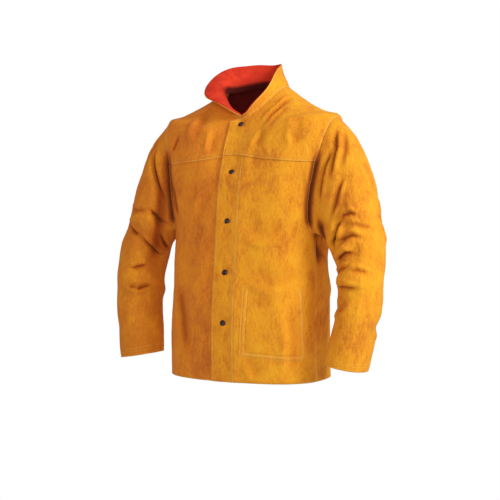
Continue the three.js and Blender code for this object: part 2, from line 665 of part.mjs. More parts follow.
const COLLAR_STEP = [0.5, 0.02];
function offCollar(turn, up, lift) {
  const within = THREE.MathUtils.clamp(up, COLLAR_STEP[1], 1 - COLLAR_STEP[1]);
  return collarPoint(turn, up).addScaledVector(normalAt(collarPoint, turn, within, COLLAR_STEP), lift);
}

// The collar's columns are those of the panels at the neckline
const LEFT_TURNS = [
  COLLAR_START,
  besideMiddle(HALF_PLACKET / 2, 1),
  ...steps(placketTurn(1), FRONT_SHOULDER, NECK_ROWS).slice(0, -1),
  ...steps(BACK_SHOULDER, MIDDLE_OF_BACK, NAPE_COLUMNS),
];
const COLLAR_TURNS = [...LEFT_TURNS, ...LEFT_TURNS.slice(0, -1).reverse().map((turn) => 360 - turn)];

function addCollarLayer(name, lift, thickness, top, finish) {
  const heights = steps(0, top, COLLAR_ROWS);
  const outside = sampleGrid((turn, up) => offCollar(turn, up, lift), COLLAR_TURNS, heights);
  const inside = sampleGrid((turn, up) => offCollar(turn, up, lift - thickness), COLLAR_TURNS, heights);
  addPiece(name, closeWall(outside.points, inside.points, outside.faces), finish);
}
addCollarLayer("collar", 0, LEATHER, 1, SUEDE);
addCollarLayer("collar_lining", -LEATHER - COLLAR_GAP, LINING, 1 - COLLAR_EDGE / COLLAR_HEIGHT, RED_COTTON);

// The places round a sleeve that have a row of points along it. They are
// those of the panels at the armhole, so that the edges match.
const ARMHOLE_ROUNDS = [
  ...steps(ARMHOLE_START, FRONT_LAP_MEETING, UPPER_ROWS),
  ...steps(FRONT_YOKE_MEETING, SHOULDER_MEETING, PLACKET_ROWS + NECK_ROWS),
  ...steps(SHOULDER_MEETING, BACK_YOKE_MEETING, BACK_YOKE_ROWS).slice(1),
  ...steps(BACK_LAP_MEETING, 360 - ARMHOLE_START, UPPER_ROWS).slice(0, -1),
];
const SLEEVE_EDGE = 1 - (2 * ARMHOLE_GAP) / ARMHOLE_DEPTH;

// The edge of the sleeve in the armhole of one side, as seen on the left
function armholePoint(round, side) {
  const [turn, rise] = armhole(round, SLEEVE_EDGE);
  return bodyPoint(side * turn, rise).multiply(new THREE.Vector3(side, 1, 1));
}

// A point of a sleeve's outside before its folds, as seen on the left
function sleevePoint(round, place, side) {
  const section = sleeveSection(place);
  const angle = degToRad(round);
  const tilt = degToRad(section.tilt);
  const upper = section.upper - (side > 0 ? 0 : section.slim);
  const halfWidth = (upper * SLEEVE_WIDTH + section.cuff * CUFF_WIDTH) / 2;
  const halfDepth = (section.deep * SLEEVE_WIDTH) / 2;
  const out = side > 0 ? section.leftOut : section.rightOut;
  const offset = new THREE.Vector3(out, -section.forward, -section.down).multiplyScalar(SLEEVE_LENGTH);
  offset.addScaledVector(new THREE.Vector3(Math.cos(tilt), 0, Math.sin(tilt)), -halfWidth * Math.cos(angle));
  offset.y -= halfDepth * Math.sin(angle);
  return offset.add(armholePoint(0, side).lerp(armholePoint(180, side), 0.5));
}

// The sleeve begins on the armhole's edge and comes to its own shape below
function joinedSleevePoint(round, place, side) {
  const near = Math.max(0, 1 - place / ARMHOLE_EASE) ** 2;
  const edge = armholePoint(round, side).sub(sleevePoint(round, 0, side));
  return sleevePoint(round, place, side).addScaledVector(edge, near);
}

const SLEEVE_STEP = [1, 0.004];
function addSleeve(name, folds, side) {
  const rows = nameRows(SLEEVE_FOLD_COLUMNS, folds);
  const flat = (round, place) => [(degToRad(round) * SLEEVE_WIDTH) / 2, place * SLEEVE_LENGTH];
  const distanceTo = (place, row) =>
    distanceToLine(place, flat(row.fromRound, row.fromPlace), flat(row.toRound, row.toPlace));
  const joined = (round, place) => joinedSleevePoint(round, place, side);
  const point = (round, place, lift) => {
    const within = THREE.MathUtils.clamp(place, SLEEVE_STEP[1], 1 - SLEEVE_STEP[1]);
    const outward = normalAt(joined, round, within, SLEEVE_STEP).negate();
    const [ahead, behind] = [flat(round, place), flat(round - 360, place)];
    const nearest = (row) => Math.min(distanceTo(ahead, row), distanceTo(behind, row));
    const fold = foldLift(rows, nearest, SLEEVE_WIDTH);
    const lifted = joined(round, place).addScaledVector(outward, lift + fold * smoothstep(place, 0, 0.08));
    return lifted.multiply(new THREE.Vector3(side, 1, 1));
  };
  const places = steps(0, 1, SLEEVE_ROWS);
  const outside = sampleGrid((round, place) => point(round, place, 0), ARMHOLE_ROUNDS, places, true);
  const inside = sampleGrid((round, place) => point(round, place, -LEATHER), ARMHOLE_ROUNDS, places, true);
  const faces = side > 0 ? outside.faces.map(([a, b, c]) => [a, c, b]) : outside.faces;
  addPiece(name, closeWall(outside.points, inside.points, faces), SUEDE);
}
addSleeve("sleeve_left", LEFT_FOLDS, 1);
addSleeve("sleeve_right", RIGHT_FOLDS, -1);

// A domed press stud, standing on +Z with its underside at 0
function snapGeometry() {
  const radius = SNAP_DIAMETER / 2;
  const profile = new THREE.Path();
  profile.moveTo(0, 0);
  profile.lineTo(radius * 0.93, 0);
  profile.lineTo(radius, SNAP_HEIGHT * 0.3);
  profile.quadraticCurveTo(radius * 0.9, SNAP_HEIGHT * 0.86, 0, SNAP_HEIGHT);
  return new THREE.LatheGeometry(profile.getPoints(2), SNAP_SIDES).rotateX(Math.PI / 2);
}

for (let number = 1; number <= SNAP_COUNT; number += 1) {
  const rise = riseDownFront(FIRST_SNAP + SNAP_PITCH * (number - 1));
  const place = [0, rise];
  const onYoke = rise > LAP_START ? frontYokeLift(place) : 0;
  const snap = addPiece(`snap_${number}`, snapGeometry(), GUNMETAL);
  snap.position.copy(offBody(place, overlapLift(place) + onYoke + SNAP_GAP));
  snap.quaternion.setFromUnitVectors(new THREE.Vector3(0, 0, 1), normalAt(bodyPoint, 0, rise, BODY_STEP));
}

export default jacket;
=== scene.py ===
"""The looks of a leather welding jacket that is worn and snapped shut.

The leather panels are the outsides of the frame's solids, made smooth, creased
and then given their thickness. Two leave their solids: the pocket is drawn out
of square, and the collar's lining runs on below its seam. Threads, snap caps,
light and camera follow. The dark of the creases, of the armholes and of the
lining's foot is painted into the finishes, in place of deep shadow.
Lengths are in metres, in the frame's own axes: +Z up, -Y out of the front.
"""

from __future__ import annotations

import logging
import math
from collections.abc import Callable, Iterable
from dataclasses import dataclass, field, replace
from enum import Enum
from typing import Any

import bmesh
import bpy
import numpy as np
from mathutils import Matrix, Vector, noise
from mathutils.bvhtree import BVHTree
from mathutils.kdtree import KDTree

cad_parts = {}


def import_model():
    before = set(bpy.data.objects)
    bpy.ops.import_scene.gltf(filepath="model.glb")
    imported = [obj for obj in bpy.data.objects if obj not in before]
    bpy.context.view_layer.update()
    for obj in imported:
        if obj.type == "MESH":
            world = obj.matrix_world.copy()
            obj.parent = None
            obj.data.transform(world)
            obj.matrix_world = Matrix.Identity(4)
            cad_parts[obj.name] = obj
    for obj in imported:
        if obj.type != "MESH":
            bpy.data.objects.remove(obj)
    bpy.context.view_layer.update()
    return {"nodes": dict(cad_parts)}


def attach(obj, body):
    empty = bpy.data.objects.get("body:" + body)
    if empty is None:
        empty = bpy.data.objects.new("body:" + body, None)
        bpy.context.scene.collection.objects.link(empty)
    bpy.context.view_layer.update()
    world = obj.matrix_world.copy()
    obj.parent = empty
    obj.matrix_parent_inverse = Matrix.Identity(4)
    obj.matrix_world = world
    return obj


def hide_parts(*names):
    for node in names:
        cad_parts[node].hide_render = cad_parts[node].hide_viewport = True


LOG = logging.getLogger("jacket")
MM = 0.001

# Leather, lining and thread
LEATHER = 1.5 * MM
LINING = 1.2 * MM
THREAD = 0.9 * MM
THREAD_LIFT = 0.12 * MM
STITCH = 3.6 * MM
STITCH_PITCH = 4.8 * MM
TACK = 2.6 * MM
TACK_PITCH = 0.8 * MM

# Where rows of stitches lie, in from an edge
YOKE_ROWS = (2.6 * MM, 9.0 * MM)
POCKET_ROWS = (3.0 * MM, 12.5 * MM)
FACING_ROWS = (3.0 * MM, 9.5 * MM)
FRONT_EDGE_ROWS = (4.5 * MM,)
SEAM_ROWS = (4.0 * MM,)
CUFF_ROWS = (12.0 * MM, 19.0 * MM)
COLLAR_ROWS = (6.0 * MM,)

# Levels that tell the edges of a piece apart
YOKE_LEVEL = -146 * MM
ARMHOLE_LEVEL = -400 * MM
CUFF_LEVEL = -500 * MM
COLLAR_RIM_LEVEL = 4 * MM
SIDE_SEAM_TOP = -330 * MM
FRONT_EDGE_LEVELS = (-705 * MM, -180 * MM)
FACING_LEVELS = (-705 * MM, -176 * MM)
YOKE_FACING_LEVELS = (-166 * MM, -96 * MM)

# How far to each side of the middle the left front's edge and the facing's inner edge lie at least
FRONT_EDGE_SIDE = -26 * MM
FACING_SIDE = 26 * MM

# How near an edge lies to the seam that it belongs to
ARMHOLE_REACH = 5 * MM
NECK_REACH = 6 * MM
SIDE_REACH = 3.5 * MM

# How far the pocket's corners are drawn, in millimetres across and up: lower
# left, lower right, upper left and upper right as seen from the front
POCKET_SLANT = ((-5, 5), (14, -11), (3, 8), (-6, -13))
POCKET_CLEARANCE = 0.8 * MM

# The pocket is open where nothing of it lies this near to a point this far above its edge
OPENING_STEP = 8 * MM
OPENING_REACH = 5 * MM

# How the sewn rows are marked: how far the pocket's sides are followed past
# its top, how soft the marks end there, and a point on the facing's outer side
PAST_TOP = 300 * MM
POCKET_TOP_FADE = 6 * MM
BESIDE_FACING = Vector((-0.1, -0.17, -0.45))

# The dent round a snap, in millimetres: its ends beside the snap's middle, then
# its width, depth and lip
DENT_ENDS = ((-13, -1, -1), (14, 1, 1))
DENT_SHAPE = (8, 2.2, 1.2)

# The collar's lining: behind which line it runs on below the seam, how near the
# seam that edge lies, how far it runs on, how much lower than the leather it
# lies, and how the painted shade of its foot fades
NECK_FRONT = -62 * MM
LINING_FOOT = 7 * MM
LINING_DROP = 12 * MM
LINING_SINK = 0.9 * MM
DARK_FOOT_TOP = 9 * MM
DARK_FOOT_HEIGHT = 7 * MM
DARK_FOOT_FADE = 25 * MM

# Snap caps, and each step of a cap's face: how far in it goes, as a share of
# the radius, and how far up, as a share of the height
SNAP_RADIUS = 7.5 * MM
SNAP_HEIGHT = 3.9 * MM
SNAP_WALL = 0.24
SNAP_STEPS = (
    (0.05, 0.12), (0.07, 0.08), (0.06, -0.03), (0.05, -0.06), (0.04, 0.10),
    (0.08, 0.16), (0.12, 0.16), (0.14, 0.12), (0.14, 0.06), (0.12, 0.02),
)

# How a solid's outside is found and made smooth
SAME_PLACE = 0.02 * MM
SHARP = math.radians(58)
FLAT_ENOUGH = math.radians(60)
SMOOTHING_ROUNDS = 4

# Creases: how far they reach, how wide the side of the lip and the other side
# are, and where the lip stands, in widths of the crease
CREASE_REACH = 45 * MM
STEEP = 0.8
GENTLE = 1.4
LIP_PLACE = 1.9

# The depth in millimetres from which a valley is painted in full shade
DARK_DEPTH = 10.0

# The floor and the view: how far round the front it stands, how high, how far
# off, how wide it sees and at what it looks
FLOOR_DROP = 1450 * MM
FLOOR_SIZE = 2.2
VIEW_TURN = 28.0
VIEW_RISE = 3.5
VIEW_DISTANCE = 3.5
VIEW_WIDTH = 1.25
VIEW_MIDDLE = Vector((-15.5 * MM, -8.2 * MM, -402 * MM))
SENSOR = 36.0

Colour = tuple[float, float, float, float]
PANELS = ("front_left", "front_right", "back", "yoke_left", "yoke_right", "yoke_back", "front_facing")


class Hold(Enum):
    """How a sheet is held in its shape."""

    HUNG = "hung"
    FOLDED = "folded"


# Shader maths


class Value:
    """A socket of a material on which Python's operators add Math nodes."""

    def __init__(self, paint: Paint, socket: bpy.types.NodeSocket) -> None:
        """Wraps a socket.

        Args:
            paint: The material that the socket belongs to.
            socket: The output socket.
        """
        self.paint = paint
        self.socket = socket

    def maths(self, operation: str, *others: Value | float, clamp: bool = False) -> Value:
        """Adds a Math node to this value.

        Args:
            operation: The name of the operation.
            others: The node's other inputs.
            clamp: Whether the result is kept between 0 and 1.

        Returns:
            The result.
        """
        inputs = dict(enumerate((self, *others)))
        node = self.paint.node("ShaderNodeMath", {"operation": operation, "use_clamp": clamp}, inputs)
        return Value(self.paint, node.outputs[0])

    def __add__(self, other: Value | float) -> Value:
        """Adds."""
        return self.maths("ADD", other)

    def __sub__(self, other: Value | float) -> Value:
        """Takes away."""
        return self.maths("SUBTRACT", other)

    def __rsub__(self, other: float) -> Value:
        """Takes this value away from a number."""
        return (self * -1.0) + other

    def __mul__(self, other: Value | float) -> Value:
        """Multiplies."""
        return self.maths("MULTIPLY", other)

    def __truediv__(self, other: Value | float) -> Value:
        """Divides."""
        return self.maths("DIVIDE", other)

    def __abs__(self) -> Value:
        """Drops the sign."""
        return self.maths("ABSOLUTE")

    __radd__ = __add__
    __rmul__ = __mul__

    def clipped(self) -> Value:
        """Keeps the value between 0 and 1."""
        return self.maths("ADD", 0.0, clamp=True)

    def band(self, middle: float, half_width: float) -> Value:
        """Rises to 1 at a value and falls to 0 a half width from it."""
        return (1.0 - abs(self - middle) / half_width).clipped()


class Paint:
    """A material in the making, around one Principled BSDF."""

    def __init__(self, name: str) -> None:
        """Starts a material.

        Args:
            name: Its name.
        """
        self.material = bpy.data.materials.new(name)
        self.material.use_nodes = True
        self.tree = self.material.node_tree
        self.surface = self.tree.nodes["Principled BSDF"]
        coordinates = self.node("ShaderNodeTexCoord", {}, {})
        self.place = coordinates.outputs["Object"]

    def node(self, kind: str, settings: dict[str, Any], inputs: dict[int | str, Any]) -> bpy.types.Node:
        """Adds a node.

        Args:
            kind: The node's type.
            settings: Its properties. The key "stops" holds a ramp's stops.
            inputs: Values or links of its sockets, by name or number.

        Returns:
            The node.
        """
        node = self.tree.nodes.new(kind)
        for key, value in settings.items():
            if key == "stops":
                self.set_stops(node.color_ramp, value)
            else:
                setattr(node, key, value)
        for key, value in inputs.items():
            self.feed(node.inputs[key], value)
        return node

    def set_stops(self, ramp: bpy.types.ColorRamp, stops: list[tuple[float, tuple[float, ...]]]) -> None:
        """Gives a ramp its stops.

        Args:
            ramp: The ramp.
            stops: A place and a colour for each stop.
        """
        while len(ramp.elements) < len(stops):
            ramp.elements.new(0.5)
        for element, (place, colour) in zip(ramp.elements, stops):
            element.position = place
            element.color = (*colour, 1.0)

    def feed(self, socket: bpy.types.NodeSocket, value: Any) -> None:
        """Sets a socket to a value, or links it.

        Args:
            socket: The input socket.
            value: A Value, an output socket, a number or a colour.
        """
        if isinstance(value, Value):
            self.tree.links.new(value.socket, socket)
        elif isinstance(value, bpy.types.NodeSocket):
            self.tree.links.new(value, socket)
        else:
            socket.default_value = value

    def stretched(self, scale: tuple[float, float, float]) -> bpy.types.NodeSocket:
        """The place on the piece, scaled along each axis."""
        mapping = self.node("ShaderNodeMapping", {}, {"Vector": self.place, "Scale": scale})
        return mapping.outputs["Vector"]

    def noise(self, size: float, detail: float = 3.0, distortion: float = 0.0,
              scale: tuple[float, float, float] = (1.0, 1.0, 1.0)) -> Value:
        """Cloudy noise.

        Args:
            size: The size of its clouds in metres.
            detail: How many finer layers it has.
            distortion: How much it swirls.
            scale: How it is stretched along each axis.

        Returns:
            The noise, from 0 to 1.
        """
        inputs = {"Vector": self.stretched(scale), "Scale": 1.0 / size, "Detail": detail,
                  "Distortion": distortion}
        return Value(self, self.node("ShaderNodeTexNoise", {}, inputs).outputs["Fac"])

    def attribute(self, name: str) -> Value:
        """Reads an attribute of the piece."""
        node = self.node("ShaderNodeAttribute", {"attribute_name": name}, {})
        return Value(self, node.outputs["Fac"])

    def spread(self, value: Value, low: float, high: float) -> Value:
        """Maps a part of a value's range to 0 to 1."""
        return ((value - low) / (high - low)).clipped()

    def mixed(self, factor: Value | float, first: Any, second: Any) -> bpy.types.NodeSocket:
        """Mixes two colours."""
        node = self.node("ShaderNodeMix", {"data_type": "RGBA"}, {0: factor, 6: first, 7: second})
        return node.outputs[2]

    def ramp(self, factor: Value, stops: list[tuple[float, tuple[float, ...]]]) -> bpy.types.NodeSocket:
        """Turns a value into a colour."""
        return self.node("ShaderNodeValToRGB", {"stops": stops}, {0: factor}).outputs["Color"]

    def bump(self, height: Value, depth: float) -> None:
        """Gives the surface its relief."""
        node = self.node("ShaderNodeBump", {}, {"Strength": 1.0, "Distance": depth, "Height": height})
        self.feed(self.surface.inputs["Normal"], node.outputs["Normal"])

    def set(self, **constants: Any) -> None:
        """Sets sockets of the surface, named in words with low lines."""
        for name, value in constants.items():
            self.feed(self.surface.inputs[name.replace("_", " ").title().replace("Ior", "IOR")], value)


def tint(red: float, green: float, blue: float) -> Colour:
    """Turns a screen colour into a linear one.

    Args:
        red: Red, from 0 to 255.
        green: Green.
        blue: Blue.

    Returns:
        The linear colour with alpha.
    """
    parts = [value / 255 for value in (red, green, blue)]
    linear = [part / 12.92 if part <= 0.04045 else ((part + 0.055) / 1.055) ** 2.4 for part in parts]
    return (*linear, 1.0)


@dataclass(frozen=True)
class Suede:
    """Split cowhide with a soft nap, mottled from golden to brown."""

    name: str = "suede"
    golden: Colour = tint(243, 180, 30)
    middle: Colour = tint(234, 160, 28)
    brown: Colour = tint(205, 120, 27)
    raw_edge: Colour = tint(246, 196, 84)
    # The two colours of the painted shade in the crease valleys and along the armhole seams
    fold_shade: Colour = tint(190, 92, 26)
    creased: Colour = tint(88, 34, 14)
    sheen: Colour = tint(255, 205, 120)
    blotch_size: float = 90 * MM
    cloud_size: float = 30 * MM
    streak_size: float = 7 * MM
    pit_size: float = 4.5 * MM
    nap_size: float = 1.6 * MM
    worn_width: float = 4.5 * MM
    groove_width: float = 1.6 * MM
    relief: float = 1.4 * MM

    def material(self) -> bpy.types.Material:
        """Builds the material.

        Returns:
            The material.
        """
        paint = Paint(self.name)
        blotches = paint.noise(self.blotch_size, 3.0, 0.5)
        clouds = paint.noise(self.cloud_size, 4.0, 0.7, (1.0, 1.0, 0.6))
        streaks = paint.noise(self.streak_size, 4.0, 0.5, (1.5, 1.5, 0.5))
        nap = paint.noise(self.nap_size, 3.0, 0.4)
        mottle = blotches * 0.32 + clouds * 0.30 + streaks * 0.24 + nap * 0.14
        shade = paint.spread(mottle, 0.39, 0.59)
        colour = paint.ramp(shade, [(0.0, self.brown[:3]), (0.45, self.middle[:3]), (1.0, self.golden[:3])])
        edge = paint.attribute("edge")
        worn = (1.0 - edge / self.worn_width).clipped() * paint.spread(clouds, 0.25, 0.5)
        colour = paint.mixed(worn * 0.85, colour, self.raw_edge)
        # A darker band in from the edges: part grime, part painted shade along the seams
        grime_and_seam_shade = edge.band(5.5 * MM, 5.0 * MM) * paint.spread(streaks, 0.4, 0.62)
        colour = paint.mixed(grime_and_seam_shade * 0.30, colour, self.brown)
        colour = paint.mixed(paint.spread(nap, 0.38, 0.62) * 0.26, colour, self.raw_edge)
        pits = paint.spread(paint.noise(self.pit_size, 3.0, 0.3), 0.56, 0.70)
        colour = paint.mixed(pits * 0.42, colour, self.brown)
        raised, grooves = self.sewn_relief(paint)
        colour = paint.mixed(raised * (0.25 + 0.4 * shade), colour, self.raw_edge)
        colour = paint.mixed(grooves * 0.22, colour, self.brown)
        # Painted shade: the crease valleys and the armhole seams darken in two steps by the fold attribute
        fold = paint.attribute("fold")
        colour = paint.mixed(paint.spread(fold, 0.0, 0.5) * 0.72, colour, self.fold_shade)
        colour = paint.mixed(paint.spread(fold, 0.3, 1.0) * 0.96, colour, self.creased)
        paint.set(base_color=colour, roughness=0.94 - 0.12 * shade, specular_ior_level=0.16)
        paint.set(sheen_weight=0.22, sheen_roughness=0.45, sheen_tint=self.sheen)
        paint.bump(nap * 0.3 + streaks * 0.85 + clouds * 0.9 + raised * 0.25 - grooves * 0.5, self.relief)
        return paint.material

    def sewn_relief(self, paint: Paint) -> tuple[Value, Value]:
        """Works out how the pocket and the facing show through the left front.

        Args:
            paint: The material in the making.

        Returns:
            How raised the leather is, and how deep in a row's groove it lies.
        """
        pocket, facing = paint.attribute("pocket"), paint.attribute("facing")
        below_top = paint.attribute("pocket_height")
        width = self.groove_width
        grooves = (pocket.band(POCKET_ROWS[0], width) + pocket.band(POCKET_ROWS[1], width)) * below_top
        grooves = grooves + facing.band(FACING_ROWS[0], width) + facing.band(FACING_ROWS[1], width)
        raised = pocket.band(7.75 * MM, 6.0 * MM) * below_top + facing.band(6.25 * MM, 4.0 * MM)
        rim = pocket.band(0.8 * MM, 0.75 * MM) * below_top
        return (raised + rim).clipped(), grooves.clipped()


@dataclass(frozen=True)
class Cotton:
    """Plain woven cotton."""

    name: str
    colour: Colour
    shade: Colour
    # deep is the painted shade at the foot of the collar's lining
    deep: Colour = tint(58, 14, 14)

    def material(self) -> bpy.types.Material:
        """Builds the material.

        Returns:
            The material.
        """
        paint = Paint(self.name)
        clouds = paint.noise(0.030, 4.0, 0.6)
        warp = paint.noise(0.0012, 2.0, 0.0, (1.0, 1.0, 0.12))
        weft = paint.noise(0.0012, 2.0, 0.0, (0.12, 0.12, 1.0))
        weave = warp * 0.5 + weft * 0.5
        colour = paint.mixed(paint.spread(clouds * 0.6 + weave * 0.4, 0.35, 0.65), self.shade, self.colour)
        # Painted shade at the lining's foot, where the deep attribute is set
        colour = paint.mixed(paint.attribute("deep") * 0.97, colour, self.deep)
        paint.set(base_color=colour, roughness=0.86 + 0.08 * weave)
        paint.set(sheen_weight=0.25, sheen_roughness=0.5, sheen_tint=self.colour, specular_ior_level=0.15)
        paint.bump(weave * 0.35 + clouds, 0.8 * MM)
        return paint.material


@dataclass(frozen=True)
class Aramid:
    """Pale yellow sewing thread."""

    name: str = "thread"
    colour: Colour = tint(246, 205, 96)

    def material(self) -> bpy.types.Material:
        """Builds the material.

        Returns:
            The material.
        """
        paint = Paint(self.name)
        twist = paint.noise(0.0006, 1.0)
        paint.set(base_color=paint.mixed(twist * 0.4, self.colour, tint(196, 140, 50)), roughness=0.6)
        paint.set(specular_ior_level=0.3)
        return paint.material


@dataclass(frozen=True)
class Gunmetal:
    """Blackened brass with a worn gloss."""

    name: str = "gunmetal"
    dark: Colour = tint(58, 50, 50)
    bright: Colour = tint(120, 118, 126)

    def material(self) -> bpy.types.Material:
        """Builds the material.

        Returns:
            The material.
        """
        paint = Paint(self.name)
        wear = paint.spread(paint.noise(0.0035, 4.0, 0.5), 0.45, 0.7)
        paint.set(base_color=paint.mixed(wear * 0.6, self.dark, self.bright), metallic=0.92)
        paint.set(roughness=0.24 + 0.16 * wear, specular_ior_level=0.5)
        paint.bump(paint.noise(0.0016, 3.0), 0.06 * MM)
        return paint.material


@dataclass(frozen=True)
class PaleFloor:
    """A plain pale floor."""

    name: str = "pale_floor"

    def material(self) -> bpy.types.Material:
        """Builds the material.

        Returns:
            The material.
        """
        paint = Paint(self.name)
        cloud = paint.noise(0.6, 2.0)
        colour = paint.mixed(cloud * 0.3, tint(228, 241, 241), tint(220, 234, 234))
        paint.set(base_color=colour, roughness=0.8)
        return paint.material


# Creases


@dataclass(frozen=True)
class Crease:
    """A crease of the leather along a line of points, in millimetres.

    A lip is the fold that stands up beside the valley. It lies on the side
    that is to the right of the line as seen from outside, or to the left if
    the lip is below 0. Over is how far it hangs over the valley. Dark scales
    how dark the valley's painted shade is for its depth.
    """

    points: tuple[tuple[float, float, float], ...]
    width: float
    depth: float
    lip: float = 0.0
    over: float = 0.0
    dark: float = 1.0


LEFT_ARM_CREASES = (
    Crease(((243, -84, -149), (236, -90, -175), (229, -96, -207), (224, -101, -237), (222, -104, -279)),
           6, 10, -5, 3),
    Crease(((245, -60, -100), (254, -83, -150), (252, -93, -179), (250, -99, -200), (244, -102, -226)),
           6, 8, -5, 2),
    Crease(((268, -60, -95), (276, -84, -160), (270, -96, -200)), 7, 4, -3),
    Crease(((279, -100, -216), (273, -110, -251), (268, -114, -278), (254, -110, -316)), 6, 7, -4, 1),
    Crease(((283, -115, -314), (274, -114, -334), (268, -112, -356), (250, -95, -392)), 5.5, 13, -8, 5),
    Crease(((226, -98, -300), (226, -84, -340), (226, -64, -376), (236, -50, -420)), 15, 5, 2, 0, 2.0),
    Crease(((281, -117, -322), (290, -118, -306), (306, -117, -300), (320, -112, -308)), 5.5, 6, -5, 2),
    Crease(((270, -108, -372), (290, -115, -360), (312, -117, -352), (332, -110, -360)), 6, 6, -5, 2),
    Crease(((260, -98, -420), (276, -110, -404), (295, -116, -391), (314, -114, -396)), 6, 9, -7, 4),
    Crease(((258, -92, -448), (284, -114, -430), (306, -118, -428)), 6, 5, -5, 2),
    Crease(((300, -120, -324), (326, -110, -332), (350, -90, -338)), 6, 3, -2),
    Crease(((306, -122, -440), (326, -122, -434), (350, -108, -442)), 6, 4, -3, 1),
    Crease(((268, -104, -478), (296, -122, -472), (332, -124, -476)), 7, 6, -5, 2),
    Crease(((352, -60, -300), (361, -30, -340), (352, 0, -372)), 10, 6, 4, 1, 0.6),
    Crease(((330, 6, -392), (300, 12, -380), (268, 8, -402)), 9, 7, -5, 2, 0.6),
    Crease(((350, -20, -440), (322, 0, -452), (290, 0, -440)), 7, 6, -4, 1),
    Crease(((340, -40, -250), (346, -10, -276), (330, 20, -300)), 12, 5, 3, 0, 0.5),
    Crease(((262, -60, -520), (284, -92, -536), (318, -112, -528)), 8, 4, 3),
    Crease(((352, -76, -560), (336, -36, -580), (300, -16, -572)), 12, 5, 3, 0, 0.5),
)

RIGHT_ARM_CREASES = (
    Crease(((-252, -65, -138), (-249, -82, -165), (-239, -95, -199), (-228, -99, -225), (-221, -102, -247),
            (-213, -103, -268), (-208, -103, -285)), 6.5, 13, -8, 5),
    Crease(((-215, -80, -153), (-213, -91, -203), (-209, -98, -240)), 6, 5, 3),
    Crease(((-222, -96, -190), (-214, -98, -260), (-222, -96, -330), (-236, -92, -400), (-240, -96, -470)),
           22, 6, 2),
    Crease(((-322, -92, -328), (-306, -110, -342), (-290, -114, -356), (-269, -113, -369)), 6, 8, -5, 2),
    Crease(((-270, -112, -368), (-256, -104, -382), (-242, -90, -402), (-238, -60, -424)), 5.5, 13, -9, 6),
    Crease(((-318, -98, -300), (-278, -118, -305), (-244, -115, -306)), 7, 4, -3),
    Crease(((-246, -114, -300), (-228, -108, -316), (-214, -92, -346)), 6, 9, -6, 2),
    Crease(((-226, -97, -358), (-228, -71, -384), (-238, -30, -408)), 6, 8, -5, 3),
    Crease(((-300, -118, -452), (-280, -118, -446), (-256, -101, -440)), 6, 6, -4, 2),
    Crease(((-246, -92, -488), (-278, -112, -500), (-308, -112, -492)), 6, 7, -5, 2),
    Crease(((-262, -70, -100), (-284, -84, -150), (-292, -94, -210)), 9, 4, 3),
    Crease(((-344, -60, -330), (-352, -24, -366), (-338, 2, -396)), 10, 6, 4, 1, 0.6),
    Crease(((-322, 6, -402), (-290, 12, -388), (-256, 6, -408)), 9, 7, -5, 2, 0.6),
    Crease(((-340, -16, -458), (-312, 2, -462), (-280, -2, -446)), 7, 6, -4, 1),
    Crease(((-332, -40, -250), (-338, -10, -276), (-322, 20, -300)), 12, 5, 3, 0, 0.5),
    Crease(((-344, -76, -560), (-328, -36, -580), (-292, -16, -572)), 12, 5, 3, 0, 0.5),
)

BODY_CREASES = (
    Crease(((112, -24, -26), (92, -70, -50), (58, -104, -78)), 6, 6, 4, 1, 0.8),
    Crease(((118, -50, -44), (100, -84, -66), (76, -108, -92)), 6, 4, 2.5, 0, 0.8),
    Crease(((66, -112, -96), (62, -120, -122), (54, -126, -150)), 9, 4, 3, 0, 0.7),
    Crease(((152, -60, -84), (150, -92, -124), (160, -98, -150)), 10, 4, 3, 0, 0.6),
    Crease(((-96, -60, -62), (-112, -84, -92), (-118, -96, -140)), 12, 5, 3, 0, 0.6),
    Crease(((-60, -104, -98), (-66, -120, -134), (-64, -128, -164)), 10, 4, 3, 0, 0.5),
    Crease(((40, -150, -330), (90, -150, -352), (150, -128, -338)), 20, 4, 3, 0, 0.4),
    Crease(((60, -160, -440), (110, -152, -462), (170, -120, -452)), 22, 4, 3, 0, 0.4),
    Crease(((200, -91, -180), (194, -94, -208), (198, -97, -240), (204, -100, -290)), 7, 7, 4, 1),
    Crease(((208, -70, -345), (205, -40, -385), (200, 0, -430)), 9, 8, 5, 1),
    Crease(((214, -84, -320), (216, -60, -368), (212, -40, -440)), 20, 8, 2, 0, 1.6),
    Crease(((184, -102, -212), (190, -99, -220), (198, -95, -234)), 5, 4, 2.5),
    Crease(((-170, -92, -112), (-178, -93, -132), (-196, -87, -164)), 6, 5, 3, 1),
    Crease(((-200, -90, -216), (-178, -106, -262), (-168, -112, -330)), 10, 6, 4),
    Crease(((-196, -70, -350), (-188, -84, -390), (-190, -86, -440)), 10, 6, 3),
    Crease(((-150, -128, -470), (-120, -150, -560), (-108, -158, -660)), 16, 5, 3),
    Crease(((150, -128, -520), (160, -118, -600), (158, -118, -700)), 16, 5, 3, 0, 0.6),
    Crease(((60, -165, -640), (90, -158, -700)), 14, 4, 2, 0, 0.6),
    Crease(((-60, -160, -250), (-84, -152, -300), (-100, -146, -350)), 14, 3, 2, 0, 0.6),
    Crease(((190, 20, -440), (150, 62, -500), (110, 84, -560)), 20, 6, 4, 1, 0.4),
    Crease(((-190, 20, -430), (-150, 62, -490), (-110, 84, -570)), 20, 6, 4, 1, 0.4),
    Crease(((60, 92, -320), (100, 88, -420), (110, 84, -520)), 22, 6, 4, 0, 0.3),
    Crease(((-60, 92, -320), (-96, 88, -430), (-104, 84, -540)), 22, 6, 4, 0, 0.3),
    Crease(((-30, 100, -600), (20, 98, -520), (60, 94, -450)), 24, 5, 3, 0, 0.3),
)


